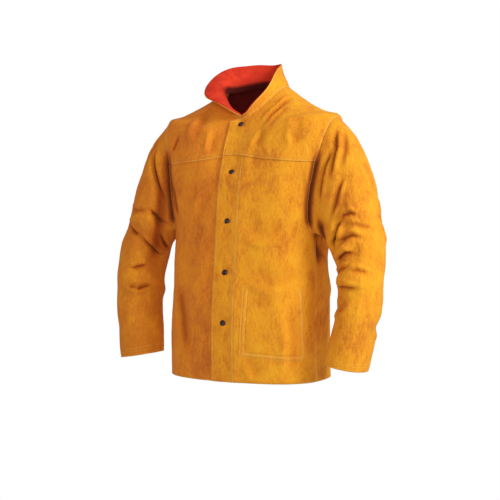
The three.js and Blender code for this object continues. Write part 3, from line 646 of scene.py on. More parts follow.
@dataclass
class Folds:
    """Moves the points of the leather into creases and soft swells, and marks where shade is painted in the
    valleys and along the seams.
    """

    creases: tuple[Crease, ...]
    swell: float = 2.2 * MM
    swell_size: float = 120 * MM
    ripple: float = 0.7 * MM
    ripple_size: float = 34 * MM
    # The painted shade along the seams: between which heights it lies, how wide it is, and how it fades at
    # its lower and upper ends
    seam_shade_levels: tuple[float, float] = (-345 * MM, -135 * MM)
    seam_shade_width: float = 13 * MM
    seam_shade_fade: tuple[float, float] = (20 * MM, 50 * MM)

    def crease_move(
        self, crease: Crease, points: np.ndarray, normals: np.ndarray
    ) -> tuple[np.ndarray, np.ndarray]:
        """Works out how one crease moves points.

        Args:
            crease: The crease.
            points: The points.
            normals: The outward directions there.

        Returns:
            A move for each point, and how strongly its painted shade shows, from 0 to 1.
        """
        line = np.array(crease.points) * MM
        spans = np.diff(line, axis=0)
        lengths = np.linalg.norm(spans, axis=1)
        ways = spans / lengths[:, None]
        starts = np.cumsum(lengths) - lengths
        offsets = points[:, None, :] - line[None, :-1, :]
        along = np.clip(np.einsum("nsk,sk->ns", offsets, ways), 0.0, lengths)
        away = offsets - along[..., None] * ways
        rows = np.arange(len(points))
        nearest = np.linalg.norm(away, axis=2).argmin(axis=1)
        away = away[rows, nearest]
        near = np.clip((CREASE_REACH - np.linalg.norm(away, axis=1)) / (0.3 * CREASE_REACH), 0.0, 1.0)
        away -= np.sum(away * normals, axis=1)[:, None] * normals
        right = np.cross(ways[nearest], normals)
        right /= np.maximum(np.linalg.norm(right, axis=1), 1e-6)[:, None]
        lip_side = math.copysign(1.0, crease.lip)
        side = np.where(np.sum(away * right, axis=1) >= 0, lip_side, -lip_side)
        distance = side * np.linalg.norm(away, axis=1) / (crease.width * MM)
        distance = np.where(distance > 0, distance / STEEP, distance / GENTLE)
        place = (starts[nearest] + along[rows, nearest]) / lengths.sum()
        taper = np.clip(np.minimum(place, 1 - place) / 0.3, 0.0, 1.0)
        taper = (0.10 + 0.90 * taper * taper * (3 - 2 * taper)) * near
        valley = np.exp(-(np.abs(distance) ** 1.7))
        lip = np.exp(-((distance - LIP_PLACE) ** 2)) + 0.35 * np.exp(-(((distance + LIP_PLACE) / 1.2) ** 2))
        hang = crease.over * np.exp(-(((distance - 1.3) / 0.8) ** 2))
        lift = (abs(crease.lip) * lip - crease.depth * valley) * taper * MM
        move = normals * lift[:, None] - right * (lip_side * hang * taper * MM)[:, None]
        mark = np.exp(-((np.abs(distance - 0.25) / 0.9) ** 2)) * taper
        return move, mark * min(crease.dark * crease.depth / DARK_DEPTH, 1.0)

    def swells(self, points: np.ndarray, normals: np.ndarray) -> np.ndarray:
        """Works out soft swells and ripples all over.

        Args:
            points: The points.
            normals: The outward directions there.

        Returns:
            A move for each point.
        """
        lifts = np.empty(len(points))
        for index, point in enumerate(points):
            place = Vector(point)
            broad = noise.noise(place / self.swell_size)
            fine = noise.noise(place / self.ripple_size) + 0.5 * noise.noise(place * 2.3 / self.ripple_size)
            lifts[index] = self.swell * broad + self.ripple * fine
        return normals * lifts[:, None]

    def apply(self, skin: Skin, held: KDTree, reach: float = 16 * MM) -> None:
        """Moves a skin's points, leaves those that a seam holds, and marks the valleys and the seams between
        two heights for painted shade.

        Args:
            skin: The skin.
            held: The points of the seams that stay where they are.
            reach: How far from such a seam the leather moves freely.
        """
        points, normals = skin.points(), skin.normals()
        move = self.swells(points, normals)
        marks = np.zeros(len(points))
        for crease in self.creases:
            creased, mark = self.crease_move(crease, points, normals)
            move += creased
            marks = np.maximum(marks, mark)
        far = np.array([held.find(point)[2] for point in points])
        inside = np.clip((points[:, 2] - self.seam_shade_levels[0]) / self.seam_shade_fade[0], 0, 1)
        inside = inside * np.clip((self.seam_shade_levels[1] - points[:, 2]) / self.seam_shade_fade[1], 0, 1)
        marks = np.maximum(marks, inside * np.exp(-((far / self.seam_shade_width) ** 2)))
        far = np.clip(far / reach, 0.0, 1.0)
        move *= (far * far * (3 - 2 * far))[:, None]
        skin.write("fold", marks)
        skin.place(points + move)


# Skins of the pieces


class Skin:
    """The outside of a piece of the frame, as a fine smooth sheet."""

    def __init__(self, name: str, node: bpy.types.Object, middle: Vector | None, levels: int) -> None:
        """Takes the outside of a solid and makes it smooth.

        Args:
            name: The new piece's name.
            node: The solid.
            middle: A point of the upright line that the piece stands round,
                or None for a tube round its own middle.
            levels: How often it is divided.
        """
        self.object = bpy.data.objects.new(name, node.data.copy())
        bpy.context.scene.collection.objects.link(self.object)
        self.object.data.materials.clear()
        self.keep_outside(middle)
        self.smooth(levels)

    def keep_outside(self, middle: Vector | None) -> None:
        """Keeps the outer wall alone, in quads.

        Args:
            middle: As for the class.
        """
        mesh = bmesh.new()
        mesh.from_mesh(self.object.data)
        bmesh.ops.remove_doubles(mesh, verts=mesh.verts, dist=SAME_PLACE)
        centre = sum((vert.co for vert in mesh.verts), Vector()) / len(mesh.verts)

        def facing_out(wall: set[bmesh.types.BMFace]) -> float:
            """How much area of a wall faces away from the middle."""
            return sum(face.calc_area() * face.normal.dot(outward(face, centre, middle)) for face in wall)

        outside = max(walls(mesh), key=facing_out)
        spare = [face for face in mesh.faces if face not in outside]
        bmesh.ops.delete(mesh, geom=spare, context="FACES")
        limits = {"angle_face_threshold": FLAT_ENOUGH, "angle_shape_threshold": FLAT_ENOUGH}
        bmesh.ops.join_triangles(mesh, faces=mesh.faces, **limits)
        mesh.to_mesh(self.object.data)
        mesh.free()

    def smooth(self, levels: int) -> None:
        """Divides the sheet into fine smooth faces that still pass through its corners.

        Args:
            levels: How often it is divided.
        """
        finer = self.object.modifiers.new("finer", "SUBSURF")
        finer.levels = finer.render_levels = levels
        finer.boundary_smooth = "PRESERVE_CORNERS"
        corners = self.points()
        for _ in range(SMOOTHING_ROUNDS):
            seen = self.object.evaluated_get(bpy.context.evaluated_depsgraph_get()).data
            smoothed = np.empty(len(seen.vertices) * 3)
            seen.vertices.foreach_get("co", smoothed)
            drift = corners - smoothed.reshape(-1, 3)[: len(corners)]
            LOG.debug("%s drifts %.2f mm", self.object.name, np.abs(drift).max() / MM)
            self.place(self.points() + drift)
            bpy.context.view_layer.update()
        self.finish(finer)
        self.object.data.shade_smooth()

    def finish(self, modifier: bpy.types.Modifier) -> None:
        """Applies a modifier.

        Args:
            modifier: The modifier.
        """
        clear_selection()
        bpy.context.view_layer.objects.active = self.object
        self.object.select_set(True)
        bpy.ops.object.modifier_apply(modifier=modifier.name)

    def points(self) -> np.ndarray:
        """The sheet's points."""
        values = np.empty(len(self.object.data.vertices) * 3)
        self.object.data.vertices.foreach_get("co", values)
        return values.reshape(-1, 3)

    def normals(self) -> np.ndarray:
        """The outward directions at its points."""
        values = np.empty(len(self.object.data.vertices) * 3)
        self.object.data.vertices.foreach_get("normal", values)
        return values.reshape(-1, 3)

    def place(self, points: np.ndarray) -> None:
        """Moves its points."""
        self.object.data.vertices.foreach_set("co", points.ravel())
        self.object.data.update()

    def rims(self) -> list[list[int]]:
        """Walks along the sheet's edges.

        Returns:
            The points of each edge loop in order.
        """
        mesh = bmesh.new()
        mesh.from_mesh(self.object.data)
        following: dict[int, int] = {}
        for edge in mesh.edges:
            if edge.is_boundary:
                loop = edge.link_loops[0]
                following[loop.vert.index] = loop.link_loop_next.vert.index
        mesh.free()
        rims = []
        while following:
            start, vert = following.popitem()
            rim = [start]
            while vert != start and vert in following:
                rim.append(vert)
                vert = following.pop(vert)
            rims.append(rim)
        return rims

    def runs(self, wanted: Callable[[Vector], bool]) -> list[np.ndarray]:
        """Finds the stretches of its edges where a test holds.

        Args:
            wanted: Tells whether a point of the edge is wanted.

        Returns:
            The points of each stretch in order.
        """
        points = self.points()
        runs = []
        for rim in self.rims():
            marks = [wanted(Vector(points[vert])) for vert in rim]
            if all(marks):
                runs.append(points[[*rim, rim[0]]])
                continue
            first = marks.index(False)
            run: list[int] = []
            for step in range(len(rim) + 1):
                vert, mark = rim[(first + step) % len(rim)], marks[(first + step) % len(rim)]
                if mark:
                    run.append(vert)
                elif run:
                    if len(run) > 3:
                        runs.append(points[run])
                    run = []
        return runs

    def edges(self) -> list[np.ndarray]:
        """The points of all its edge loops."""
        points = self.points()
        return [points[[*rim, rim[0]]] for rim in self.rims()]

    def join(self, lines: Iterable[np.ndarray], reach: float = 9 * MM, soft: float = 30 * MM) -> None:
        """Pulls the sheet's edge onto nearby edges that it is sewn to.

        Args:
            lines: The other edges.
            reach: How far the edge may be pulled.
            soft: How far into the sheet the pull fades.
        """
        target = line_tree(lines, 0.5 * MM)
        points = self.points()
        rim = [vert for loop in self.rims() for vert in loop]
        own = KDTree(len(rim))
        pulls = np.zeros((len(rim), 3))
        for index, vert in enumerate(rim):
            own.insert(points[vert], index)
            place, _, distance = target.find(points[vert])
            if distance < reach:
                pulls[index] = np.array(place) - points[vert]
        own.balance()
        moved = points.copy()
        for index, point in enumerate(points):
            found = own.find_n(point, 9)
            distance = found[0][2]
            if distance < soft:
                weights = [1 / (away + 2.5 * MM) ** 2 for _, _, away in found]
                pull = np.average(pulls[[near for _, near, _ in found]], axis=0, weights=weights)
                moved[index] += pull * (1 - distance / soft) ** 2
        self.place(moved)

    def lengthen(self, wanted: Callable[[Vector], bool], move: Vector) -> None:
        """Lengthens the sheet beyond a stretch of its edge.

        Args:
            wanted: Tells whether a point of the edge belongs to the stretch.
            move: Where the edge goes.
        """
        mesh = bmesh.new()
        mesh.from_mesh(self.object.data)
        rim = [edge for edge in mesh.edges if edge.is_boundary]
        edges = [edge for edge in rim if all(wanted(vert.co) for vert in edge.verts)]
        for _ in range(3):
            made = bmesh.ops.extrude_edge_only(mesh, edges=edges)["geom"]
            fresh = [vert for vert in made if isinstance(vert, bmesh.types.BMVert)]
            bmesh.ops.translate(mesh, verts=fresh, vec=move / 3)
            edges = [edge for edge in made if isinstance(edge, bmesh.types.BMEdge)]
        mesh.to_mesh(self.object.data)
        mesh.free()
        self.object.data.shade_smooth()

    def tree(self) -> BVHTree:
        """Builds a search tree of the sheet."""
        data = self.object.data
        return BVHTree.FromPolygons(
            [vert.co.copy() for vert in data.vertices], [tuple(face.vertices) for face in data.polygons]
        )

    def mark(self, name: str, lines: Iterable[np.ndarray], limit: float = 60 * MM) -> None:
        """Writes each point's distance from some lines to an attribute."""
        tree = line_tree(lines, 1.0 * MM)
        self.write(name, [min(tree.find(point)[2], limit) for point in self.points()])

    def mark_sides(self, name: str, line: np.ndarray, inside: Vector, limit: float = 40 * MM) -> None:
        """Writes each point's distance from a line, below 0 on its outer side.

        Args:
            name: The attribute's name.
            line: The line's points.
            inside: A point on its inner side.
            limit: The largest distance written.
        """
        even = resampled(line, 1.0 * MM)
        tree = line_tree([line], 1.0 * MM)
        values = []
        for point in self.points():
            place, index, distance = tree.find(point)
            before, after = even[max(index - 6, 0)], even[min(index + 6, len(even) - 1)]
            inward = (inside - place) - (inside - place).project(Vector(after - before))
            side = math.copysign(1.0, (Vector(point) - place).dot(inward))
            values.append(side * min(distance, limit))
        self.write(name, values)

    def write(self, name: str, values: Iterable[float]) -> None:
        """Writes an attribute."""
        attribute = self.object.data.attributes.new(name, "FLOAT", "POINT")
        attribute.data.foreach_set("value", list(values))

    def thicken(self, thickness: float) -> None:
        """Gives the sheet its thickness, inwards.

        Args:
            thickness: The thickness.
        """
        wall = self.object.modifiers.new("wall", "SOLIDIFY")
        wall.thickness = thickness
        wall.offset = -1.0
        wall.use_even_offset = False
        self.finish(wall)

    def dress(self, finish: bpy.types.Material) -> None:
        """Gives the piece its finish."""
        self.object.data.materials.clear()
        self.object.data.materials.append(finish)


def walls(mesh: bmesh.types.BMesh) -> list[set[bmesh.types.BMFace]]:
    """Parts a solid's faces at its sharp edges.

    Args:
        mesh: The solid.

    Returns:
        The walls, each a set of faces.
    """
    waiting = set(mesh.faces)
    found = []
    while waiting:
        stack = [waiting.pop()]
        wall = set(stack)
        while stack:
            for edge in stack.pop().edges:
                if len(edge.link_faces) != 2 or edge.calc_face_angle(math.pi) > SHARP:
                    continue
                fresh = {face for face in edge.link_faces if face in waiting}
                waiting -= fresh
                wall |= fresh
                stack.extend(fresh)
        found.append(wall)
    return found


def outward(face: bmesh.types.BMFace, centre: Vector, middle: Vector | None) -> Vector:
    """The direction from the middle of a piece to one of its faces.

    Args:
        face: The face.
        centre: The centre of the piece.
        middle: A point of the upright line that it stands round, if any.

    Returns:
        The direction.
    """
    place = face.calc_center_median()
    start = centre if middle is None else Vector((middle.x, middle.y, place.z))
    return (place - start).normalized()


def line_tree(lines: Iterable[np.ndarray], spacing: float) -> KDTree:
    """Builds a search tree of points along lines.

    Args:
        lines: The lines.
        spacing: The distance between the points.

    Returns:
        The tree.
    """
    points = np.vstack([resampled(line, spacing) for line in lines])
    tree = KDTree(len(points))
    for index, point in enumerate(points):
        tree.insert(point, index)
    tree.balance()
    return tree


def between(value: float, levels: tuple[float, float]) -> bool:
    """Tells whether a value lies between two levels."""
    return levels[0] < value < levels[1]


def within(tree: KDTree, reach: float) -> Callable[[Vector], bool]:
    """Makes a test whether a point lies near the points of a tree."""
    return lambda point: tree.find(point)[2] < reach


def resampled(line: np.ndarray, spacing: float) -> np.ndarray:
    """Spreads points evenly along a line.

    Args:
        line: The line's points.
        spacing: The distance between the new points.

    Returns:
        The new points.
    """
    steps = np.linalg.norm(np.diff(line, axis=0), axis=1)
    ways = np.concatenate(([0.0], np.cumsum(steps)))
    count = max(int(round(ways[-1] / spacing)), 1)
    even = np.linspace(0.0, ways[-1], count + 1)
    return np.column_stack([np.interp(even, ways, line[:, axis]) for axis in range(3)])


def laid(line: np.ndarray, sheet: BVHTree) -> np.ndarray:
    """Lays a line onto a sheet."""
    return np.array([sheet.find_nearest(Vector(point))[0] for point in resampled(line, 2 * MM)])


def inset(line: np.ndarray, tree: BVHTree, distance: float) -> np.ndarray:
    """Moves a line along a sheet, away from the sheet's edge.

    Args:
        line: A stretch of the edge.
        tree: The sheet.
        distance: How far it moves.

    Returns:
        The moved line, on the sheet.
    """
    even = resampled(line, 4 * MM)
    moved = []
    for index, point in enumerate(even):
        before, after = even[max(index - 2, 0)], even[min(index + 2, len(even) - 1)]
        way = Vector(after - before).normalized()
        normal = tree.find_nearest(Vector(point))[1]
        inward = normal.cross(way).normalized()
        moved.append(tree.find_nearest(Vector(point) + inward * distance)[0])
    return np.array(moved)


# Sewing


@dataclass
class Sewing:
    """Rows of stitches, as short threads that stand out of the leather."""

    material: bpy.types.Material
    thickness: float = THREAD
    lift: float = THREAD_LIFT
    lines: list[tuple[np.ndarray, BVHTree, float, float]] = field(default_factory=list)

    def stitch(self) -> tuple[np.ndarray, list[tuple[int, ...]]]:
        """Models one stitch along X, as a bead with pinched ends.

        Returns:
            Its points and faces.
        """
        clear_selection()
        bpy.ops.mesh.primitive_uv_sphere_add(segments=6, ring_count=5, radius=0.5, location=(0, 0, 0))
        bead = bpy.context.active_object
        bpy.ops.object.mode_set(mode="EDIT")
        bpy.ops.mesh.select_all(action="SELECT")
        bpy.ops.transform.rotate(value=math.pi / 2, orient_axis="Y", center_override=(0, 0, 0))
        bpy.ops.object.mode_set(mode="OBJECT")
        points = np.array([vert.co[:] for vert in bead.data.vertices])
        faces = [tuple(face.vertices) for face in bead.data.polygons]
        bpy.data.objects.remove(bead)
        return points, faces

    def add(
        self, line: np.ndarray, sheet: BVHTree, length: float = STITCH, pitch: float = STITCH_PITCH
    ) -> None:
        """Adds a row.

        Args:
            line: The row's line on the sheet.
            sheet: The sheet that it lies on.
            length: The length of a stitch.
            pitch: The distance from one to the next.
        """
        self.lines.append((line, sheet, length, pitch))

    def settle(self, sheet: BVHTree) -> None:
        """Lays all rows onto one sheet.

        Args:
            sheet: The sheet.
        """
        settled = []
        for line, _, length, pitch in self.lines:
            lying = np.array([sheet.find_nearest(Vector(point))[0] for point in line])
            settled.append((lying, sheet, length, pitch))
        self.lines = settled

    def sew(self, name: str) -> bpy.types.Object:
        """Makes the rows added so far one piece.

        Args:
            name: The piece's name.

        Returns:
            The piece.
        """
        bead, bead_faces = self.stitch()
        points: list[np.ndarray] = []
        faces: list[tuple[int, ...]] = []
        count = 0
        for line, sheet, length, pitch in self.lines:
            even = resampled(line, pitch)
            for start, end in zip(even[:-1], even[1:]):
                place, normal, _, _ = sheet.find_nearest(Vector((start + end) / 2))
                way = Vector(end - start).normalized()
                across = normal.cross(way).normalized()
                if pitch < length:
                    way, across = across, -way
                turn = np.array([way * length, across * self.thickness, normal * self.thickness * 0.9])
                points.append(bead @ turn + np.array(place + normal * self.lift))
                faces.extend(tuple(count + vert for vert in face) for face in bead_faces)
                count += len(bead)
        mesh = bpy.data.meshes.new(name)
        mesh.from_pydata(np.vstack(points).tolist(), [], faces)
        mesh.shade_smooth()
        mesh.materials.append(self.material)
        thread = bpy.data.objects.new(name, mesh)
        bpy.context.scene.collection.objects.link(thread)
        self.lines.clear()
        return thread


def clear_selection() -> None:
    """Selects nothing."""
    for other in bpy.context.selected_objects:
        other.select_set(False)
    bpy.context.view_layer.objects.active = None


# The jacket's pieces


@dataclass
class Jacket:
    """All the pieces of the jacket, from the leather to the snaps."""

    nodes: dict[str, bpy.types.Object]
    body_middle: Vector = field(default_factory=lambda: Vector((0.0, -32 * MM, 0.0)))
    neck_middle: Vector = field(default_factory=lambda: Vector((0.0, 0.0, 0.0)))
    skins: dict[str, Skin] = field(default_factory=dict)

    def cut(self) -> None:
        """Takes the skin of every leather and lining piece."""
        for name in PANELS:
            self.take(name, self.body_middle, 3)
        for name in ("inside_pocket", "neck_lining"):
            self.take(name, self.body_middle, 2)
        for name in ("collar", "collar_lining"):
            self.take(name, self.neck_middle, 2)
        for name in ("sleeve_left", "sleeve_right"):
            self.take(name, None, 3)

    def slant_pocket(self) -> None:
        """Draws the pocket out of square and lays it behind the left front."""
        pocket, front = self.skins["inside_pocket"], self.skins["front_left"].tree()
        points = pocket.points()
        low, high = points.min(axis=0), points.max(axis=0)
        across = ((points[:, 0] - low[0]) / (high[0] - low[0]))[:, None]
        up = ((points[:, 2] - low[2]) / (high[2] - low[2]))[:, None]
        lower, upper = np.array(POCKET_SLANT[:2]) * MM, np.array(POCKET_SLANT[2:]) * MM
        below = lower[0] * (1 - across) + lower[1] * across
        above = upper[0] * (1 - across) + upper[1] * across
        move = below * (1 - up) + above * up
        points[:, 0] += move[:, 0]
        points[:, 2] += move[:, 1]
        for index, point in enumerate(points):
            place, normal, _, _ = front.find_nearest(Vector(point))
            points[index] = place - normal * (LEATHER + POCKET_CLEARANCE)
        pocket.place(points)

    def join(self) -> None:
        """Brings the edges together that are sewn to each other."""
        skins = self.skins
        sewn = [*self.armholes(), *self.collar_seam()]
        for name in ("yoke_left", "yoke_right"):
            skins[name].join(sewn)
        skins["yoke_back"].join([*sewn, *skins["yoke_left"].edges(), *skins["yoke_right"].edges()], 15 * MM)
        for name in ("front_left", "front_right"):
            skins[name].join(self.armholes())
        skins["back"].join([*self.armholes(), *skins["front_left"].edges(), *skins["front_right"].edges()])

    def take(self, name: str, middle: Vector | None, levels: int) -> None:
        """Takes the skin of one piece."""
        self.skins[name] = Skin(f"{name}_sheet", self.nodes[name], middle, levels)
        LOG.info("%s has %d points", name, len(self.skins[name].object.data.vertices))

    def crease(self) -> None:
        """Puts the creases into the leather, and lets the collar's lining run down into the neck."""
        foot = line_tree(self.collar_seam(), 2 * MM)
        self.skins["collar_lining"].lengthen(
            lambda point: foot.find(point)[2] < LINING_FOOT and point.y > NECK_FRONT,
            Vector((0, 0, -LINING_DROP)),
        )
        self.darken_lining(foot)
        armholes = line_tree(self.armholes(), 4 * MM)
        neck = line_tree(self.collar_seam(), 4 * MM)
        seams = line_tree([*self.armholes(), *self.collar_seam()], 4 * MM)
        body = Folds(BODY_CREASES + self.dimples())
        for name in (*PANELS, "inside_pocket", "neck_lining"):
            body.apply(self.skins[name], seams)
        Folds(LEFT_ARM_CREASES).apply(self.skins["sleeve_left"], armholes, 6 * MM)
        Folds(RIGHT_ARM_CREASES).apply(self.skins["sleeve_right"], armholes, 6 * MM)
        for name in ("collar", "collar_lining"):
            Folds((), swell=0.8 * MM, ripple=0.35 * MM).apply(self.skins[name], neck)
        lining = self.skins["collar_lining"]
        lining.place(lining.points() - lining.normals() * LINING_SINK)

    def darken_lining(self, foot: KDTree) -> None:
        """Marks the collar lining's lower part at the back, which is painted in shade.

        Args:
            foot: The collar's seam.
        """
        lining = self.skins["collar_lining"]
        points = lining.points()
        heights = np.array([point[2] - foot.find(point)[0].z for point in points])
        behind = np.clip((points[:, 1] - NECK_FRONT) / DARK_FOOT_FADE, 0.0, 1.0)
        lining.write("deep", behind * np.clip((DARK_FOOT_TOP - heights) / DARK_FOOT_HEIGHT, 0.0, 1.0))

    def armholes(self) -> list[np.ndarray]:
        """The upper edges of both sleeves."""
        sleeves = (self.skins["sleeve_left"], self.skins["sleeve_right"])
        return [run for sleeve in sleeves for run in sleeve.runs(lambda point: point.z > ARMHOLE_LEVEL)]

    def collar_seam(self) -> list[np.ndarray]:
        """The lower edge of the collar."""
        yokes = [self.skins[name] for name in ("yoke_left", "yoke_right", "yoke_back")]
        rims = [skin.points()[rim] for skin in yokes for rim in skin.rims()]
        near = line_tree(rims, 3 * MM)
        return self.skins["collar"].runs(lambda point: near.find(point)[2] < 5 * MM)

    def sew(self, thread: bpy.types.Material) -> None:
        """Sews the rows of stitches.

        Args:
            thread: The thread's material.
        """
        at_armhole = within(line_tree(self.armholes(), 2 * MM), ARMHOLE_REACH)
        at_neck = within(line_tree(self.collar_seam(), 2 * MM), NECK_REACH)
        for name in ("yoke_left", "yoke_right", "yoke_back"):
            self.sew_yoke(name, Sewing(thread), at_armhole)
        back = self.skins["back"]
        at_side = within(line_tree([back.points()[rim] for rim in back.rims()], 2 * MM), SIDE_REACH)
        for name in ("front_left", "front_right"):
            skin, sewing = self.skins[name], Sewing(thread)
            sheet = skin.tree()
            seam = skin.runs(
                lambda point: at_side(point) and not at_armhole(point) and point.z < SIDE_SEAM_TOP
            )
            self.add_rows(sewing, seam, sheet, SEAM_ROWS)
            self.add_rows(sewing, skin.runs(at_armhole), sheet, SEAM_ROWS)
            if name == "front_left":
                self.sew_front(sewing, skin, sheet)
            self.keep(sewing.sew(f"{name}_stitches"))
        sewing = Sewing(thread)
        self.add_rows(sewing, back.runs(at_armhole), back.tree(), SEAM_ROWS)
        self.keep(sewing.sew("back_stitches"))
        self.sew_collar(thread, at_neck)
        for name in ("sleeve_left", "sleeve_right"):
            skin, sewing = self.skins[name], Sewing(thread)
            self.add_rows(sewing, skin.runs(lambda point: point.z < CUFF_LEVEL), skin.tree(), CUFF_ROWS)
            self.keep(sewing.sew(f"{name}_stitches"))

    def sew_yoke(self, name: str, sewing: Sewing, at_armhole: Callable[[Vector], bool]) -> None:
        """Sews the lower edge and the armhole of a yoke, and the facing through the left one.

        Args:
            name: The yoke's name.
            sewing: The sewing that the rows go to.
            at_armhole: Tells whether a point lies at an armhole.
        """
        skin = self.skins[name]
        sheet = skin.tree()
        lower = skin.runs(lambda point: point.z < YOKE_LEVEL and not at_armhole(point))
        self.add_rows(sewing, lower, sheet, YOKE_ROWS)
        self.add_rows(sewing, skin.runs(at_armhole), sheet, SEAM_ROWS)
        if name == "yoke_left":
            facing = self.skins["front_facing"]
            upper = facing.runs(lambda point: point.x > FACING_SIDE and between(point.z, YOKE_FACING_LEVELS))
            self.add_rows(sewing, upper, facing.tree(), FACING_ROWS)
            sewing.settle(sheet)
        self.keep(sewing.sew(f"{name}_stitches"))

    def add_rows(
        self, sewing: Sewing, runs: list[np.ndarray], sheet: BVHTree, rows: tuple[float, ...]
    ) -> None:
        """Adds rows beside stretches of an edge.

        Args:
            sewing: The sewing that they go to.
            runs: The stretches.
            sheet: The sheet that they lie on.
            rows: How far in from the edge each row lies.
        """
        for run in runs:
            for row in rows:
                sewing.add(inset(run, sheet, row), sheet)

    def sew_front(self, sewing: Sewing, skin: Skin, sheet: BVHTree) -> None:
        """Sews the front edge, the facing and the pocket through the left front.

        Args:
            sewing: The sewing that they go to.
            skin: The left front.
            sheet: The same as a search tree.
        """
        edge = skin.runs(lambda point: point.x < FRONT_EDGE_SIDE and between(point.z, FRONT_EDGE_LEVELS))
        self.add_rows(sewing, edge, sheet, FRONT_EDGE_ROWS)
        facing = self.skins["front_facing"]
        inner = facing.runs(lambda point: point.x > FACING_SIDE and between(point.z, FACING_LEVELS))
        self.add_rows(sewing, inner, facing.tree(), FACING_ROWS)
        pocket = self.skins["inside_pocket"]
        lining = pocket.tree()
        upward = Vector((0.0, 0.0, OPENING_STEP))
        around = pocket.runs(lambda point: lining.find_nearest(point + upward)[3] < OPENING_REACH)
        self.add_rows(sewing, around, lining, POCKET_ROWS)
        outer, inmost = (inset(max(around, key=len), lining, row) for row in POCKET_ROWS)
        for end in (0, -1):
            sewing.add(np.array([outer[end], inmost[end]]), lining, TACK, TACK_PITCH)
        self.mark_rows(skin, sheet, inner, around)
        sewing.settle(sheet)

    def mark_rows(
        self, skin: Skin, sheet: BVHTree, facing: list[np.ndarray], pocket: list[np.ndarray]
    ) -> None:
        """Marks where the facing and the pocket are sewn through the left front.

        Args:
            skin: The left front.
            sheet: The same as a search tree.
            facing: The facing's inner edge.
            pocket: The pocket's sewn edges.
        """
        middle = Vector(self.skins["inside_pocket"].points().mean(axis=0))
        skin.mark_sides("facing", laid(max(facing, key=len), sheet), BESIDE_FACING)
        line = max(pocket, key=len)
        past = np.array([0.0, 0.0, PAST_TOP])
        skin.mark_sides("pocket", laid(np.vstack([line[0] + past, line, line[-1] + past]), sheet), middle)
        points = skin.points()
        ends = sorted((line[0], line[-1]), key=lambda end: end[0])
        top = np.interp(points[:, 0], [end[0] for end in ends], [end[2] for end in ends])
        skin.write("pocket_height", np.clip((top - points[:, 2]) / POCKET_TOP_FADE + 0.5, 0.0, 1.0))

    def dimples(self) -> tuple[Crease, ...]:
        """The shallow dents round the snaps."""
        dents = []
        for number in range(1, 6):
            corners = np.array([vert.co[:] for vert in self.nodes[f"snap_{number}"].data.vertices]) / MM
            middle = corners.mean(axis=0)
            start, end = (tuple(middle + np.array(step)) for step in DENT_ENDS)
            dents.append(Crease((start, tuple(middle), end), *DENT_SHAPE))
        return tuple(dents)

    def sew_collar(self, thread: bpy.types.Material, at_neck: Callable[[Vector], bool]) -> None:
        """Sews the collar's rim and foot.

        Args:
            thread: The thread's material.
            at_neck: Tells whether a point lies at the collar's seam.
        """
        for name in ("collar", "collar_lining"):
            skin, sewing = self.skins[name], Sewing(thread)
            if name == "collar_lining":
                sewing.lift = -LINING - THREAD_LIFT
            sheet = skin.tree()
            rim = skin.runs(lambda point: not at_neck(point) and point.z > COLLAR_RIM_LEVEL)
            self.add_rows(sewing, rim, sheet, COLLAR_ROWS)
            if name == "collar":
                self.add_rows(sewing, skin.runs(at_neck), sheet, COLLAR_ROWS)
            self.keep(sewing.sew(f"{name}_stitches"))

    def finish(self, suede: Suede, cotton: bpy.types.Material, inner: bpy.types.Material) -> None:
        """Gives the skins their thickness and finish.

        Args:
            suede: The leather.
            cotton: The lining of the collar.
            inner: The lining inside the neck, a dark copy of the red cotton that is painted shade.
        """
        # The pieces on the wearer's right, turned away from the key light, take darker copies of the suede:
        # partly the hides' own tone, partly painted shade
        browner_and_shaded_tones = {"golden": suede.middle, "middle": tint(214, 130, 28)}
        browner_hide_and_shade = replace(suede, name="suede_brown_and_shaded", **browner_and_shaded_tones).material()
        redder_and_shaded_tones = {"golden": tint(240, 160, 30), "middle": tint(228, 138, 34), "brown": tint(200, 106, 32)}
        redder_hide_and_shade = replace(suede, name="suede_red_and_shaded", **redder_and_shaded_tones).material()
        hide_tones_and_shade = {"sleeve_right": browner_hide_and_shade, "front_right": redder_hide_and_shade, "yoke_right": redder_hide_and_shade}
        common = suede.material()
        for name, skin in self.skins.items():
            lining = name.endswith("lining")
            skin.mark("edge", skin.edges())
            skin.thicken(LINING if lining else LEATHER)
            finish = hide_tones_and_shade.get(name, common)
            if lining:
                finish = inner if name == "neck_lining" else cotton
            skin.dress(finish)
            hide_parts(name)
            self.keep(skin.object)

    def keep(self, piece: bpy.types.Object) -> None:
        """Keeps a piece and lets it ride on the jacket.

        Args:
            piece: The piece.
        """
        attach(piece, "root")
        LOG.info("%s is made", piece.name)


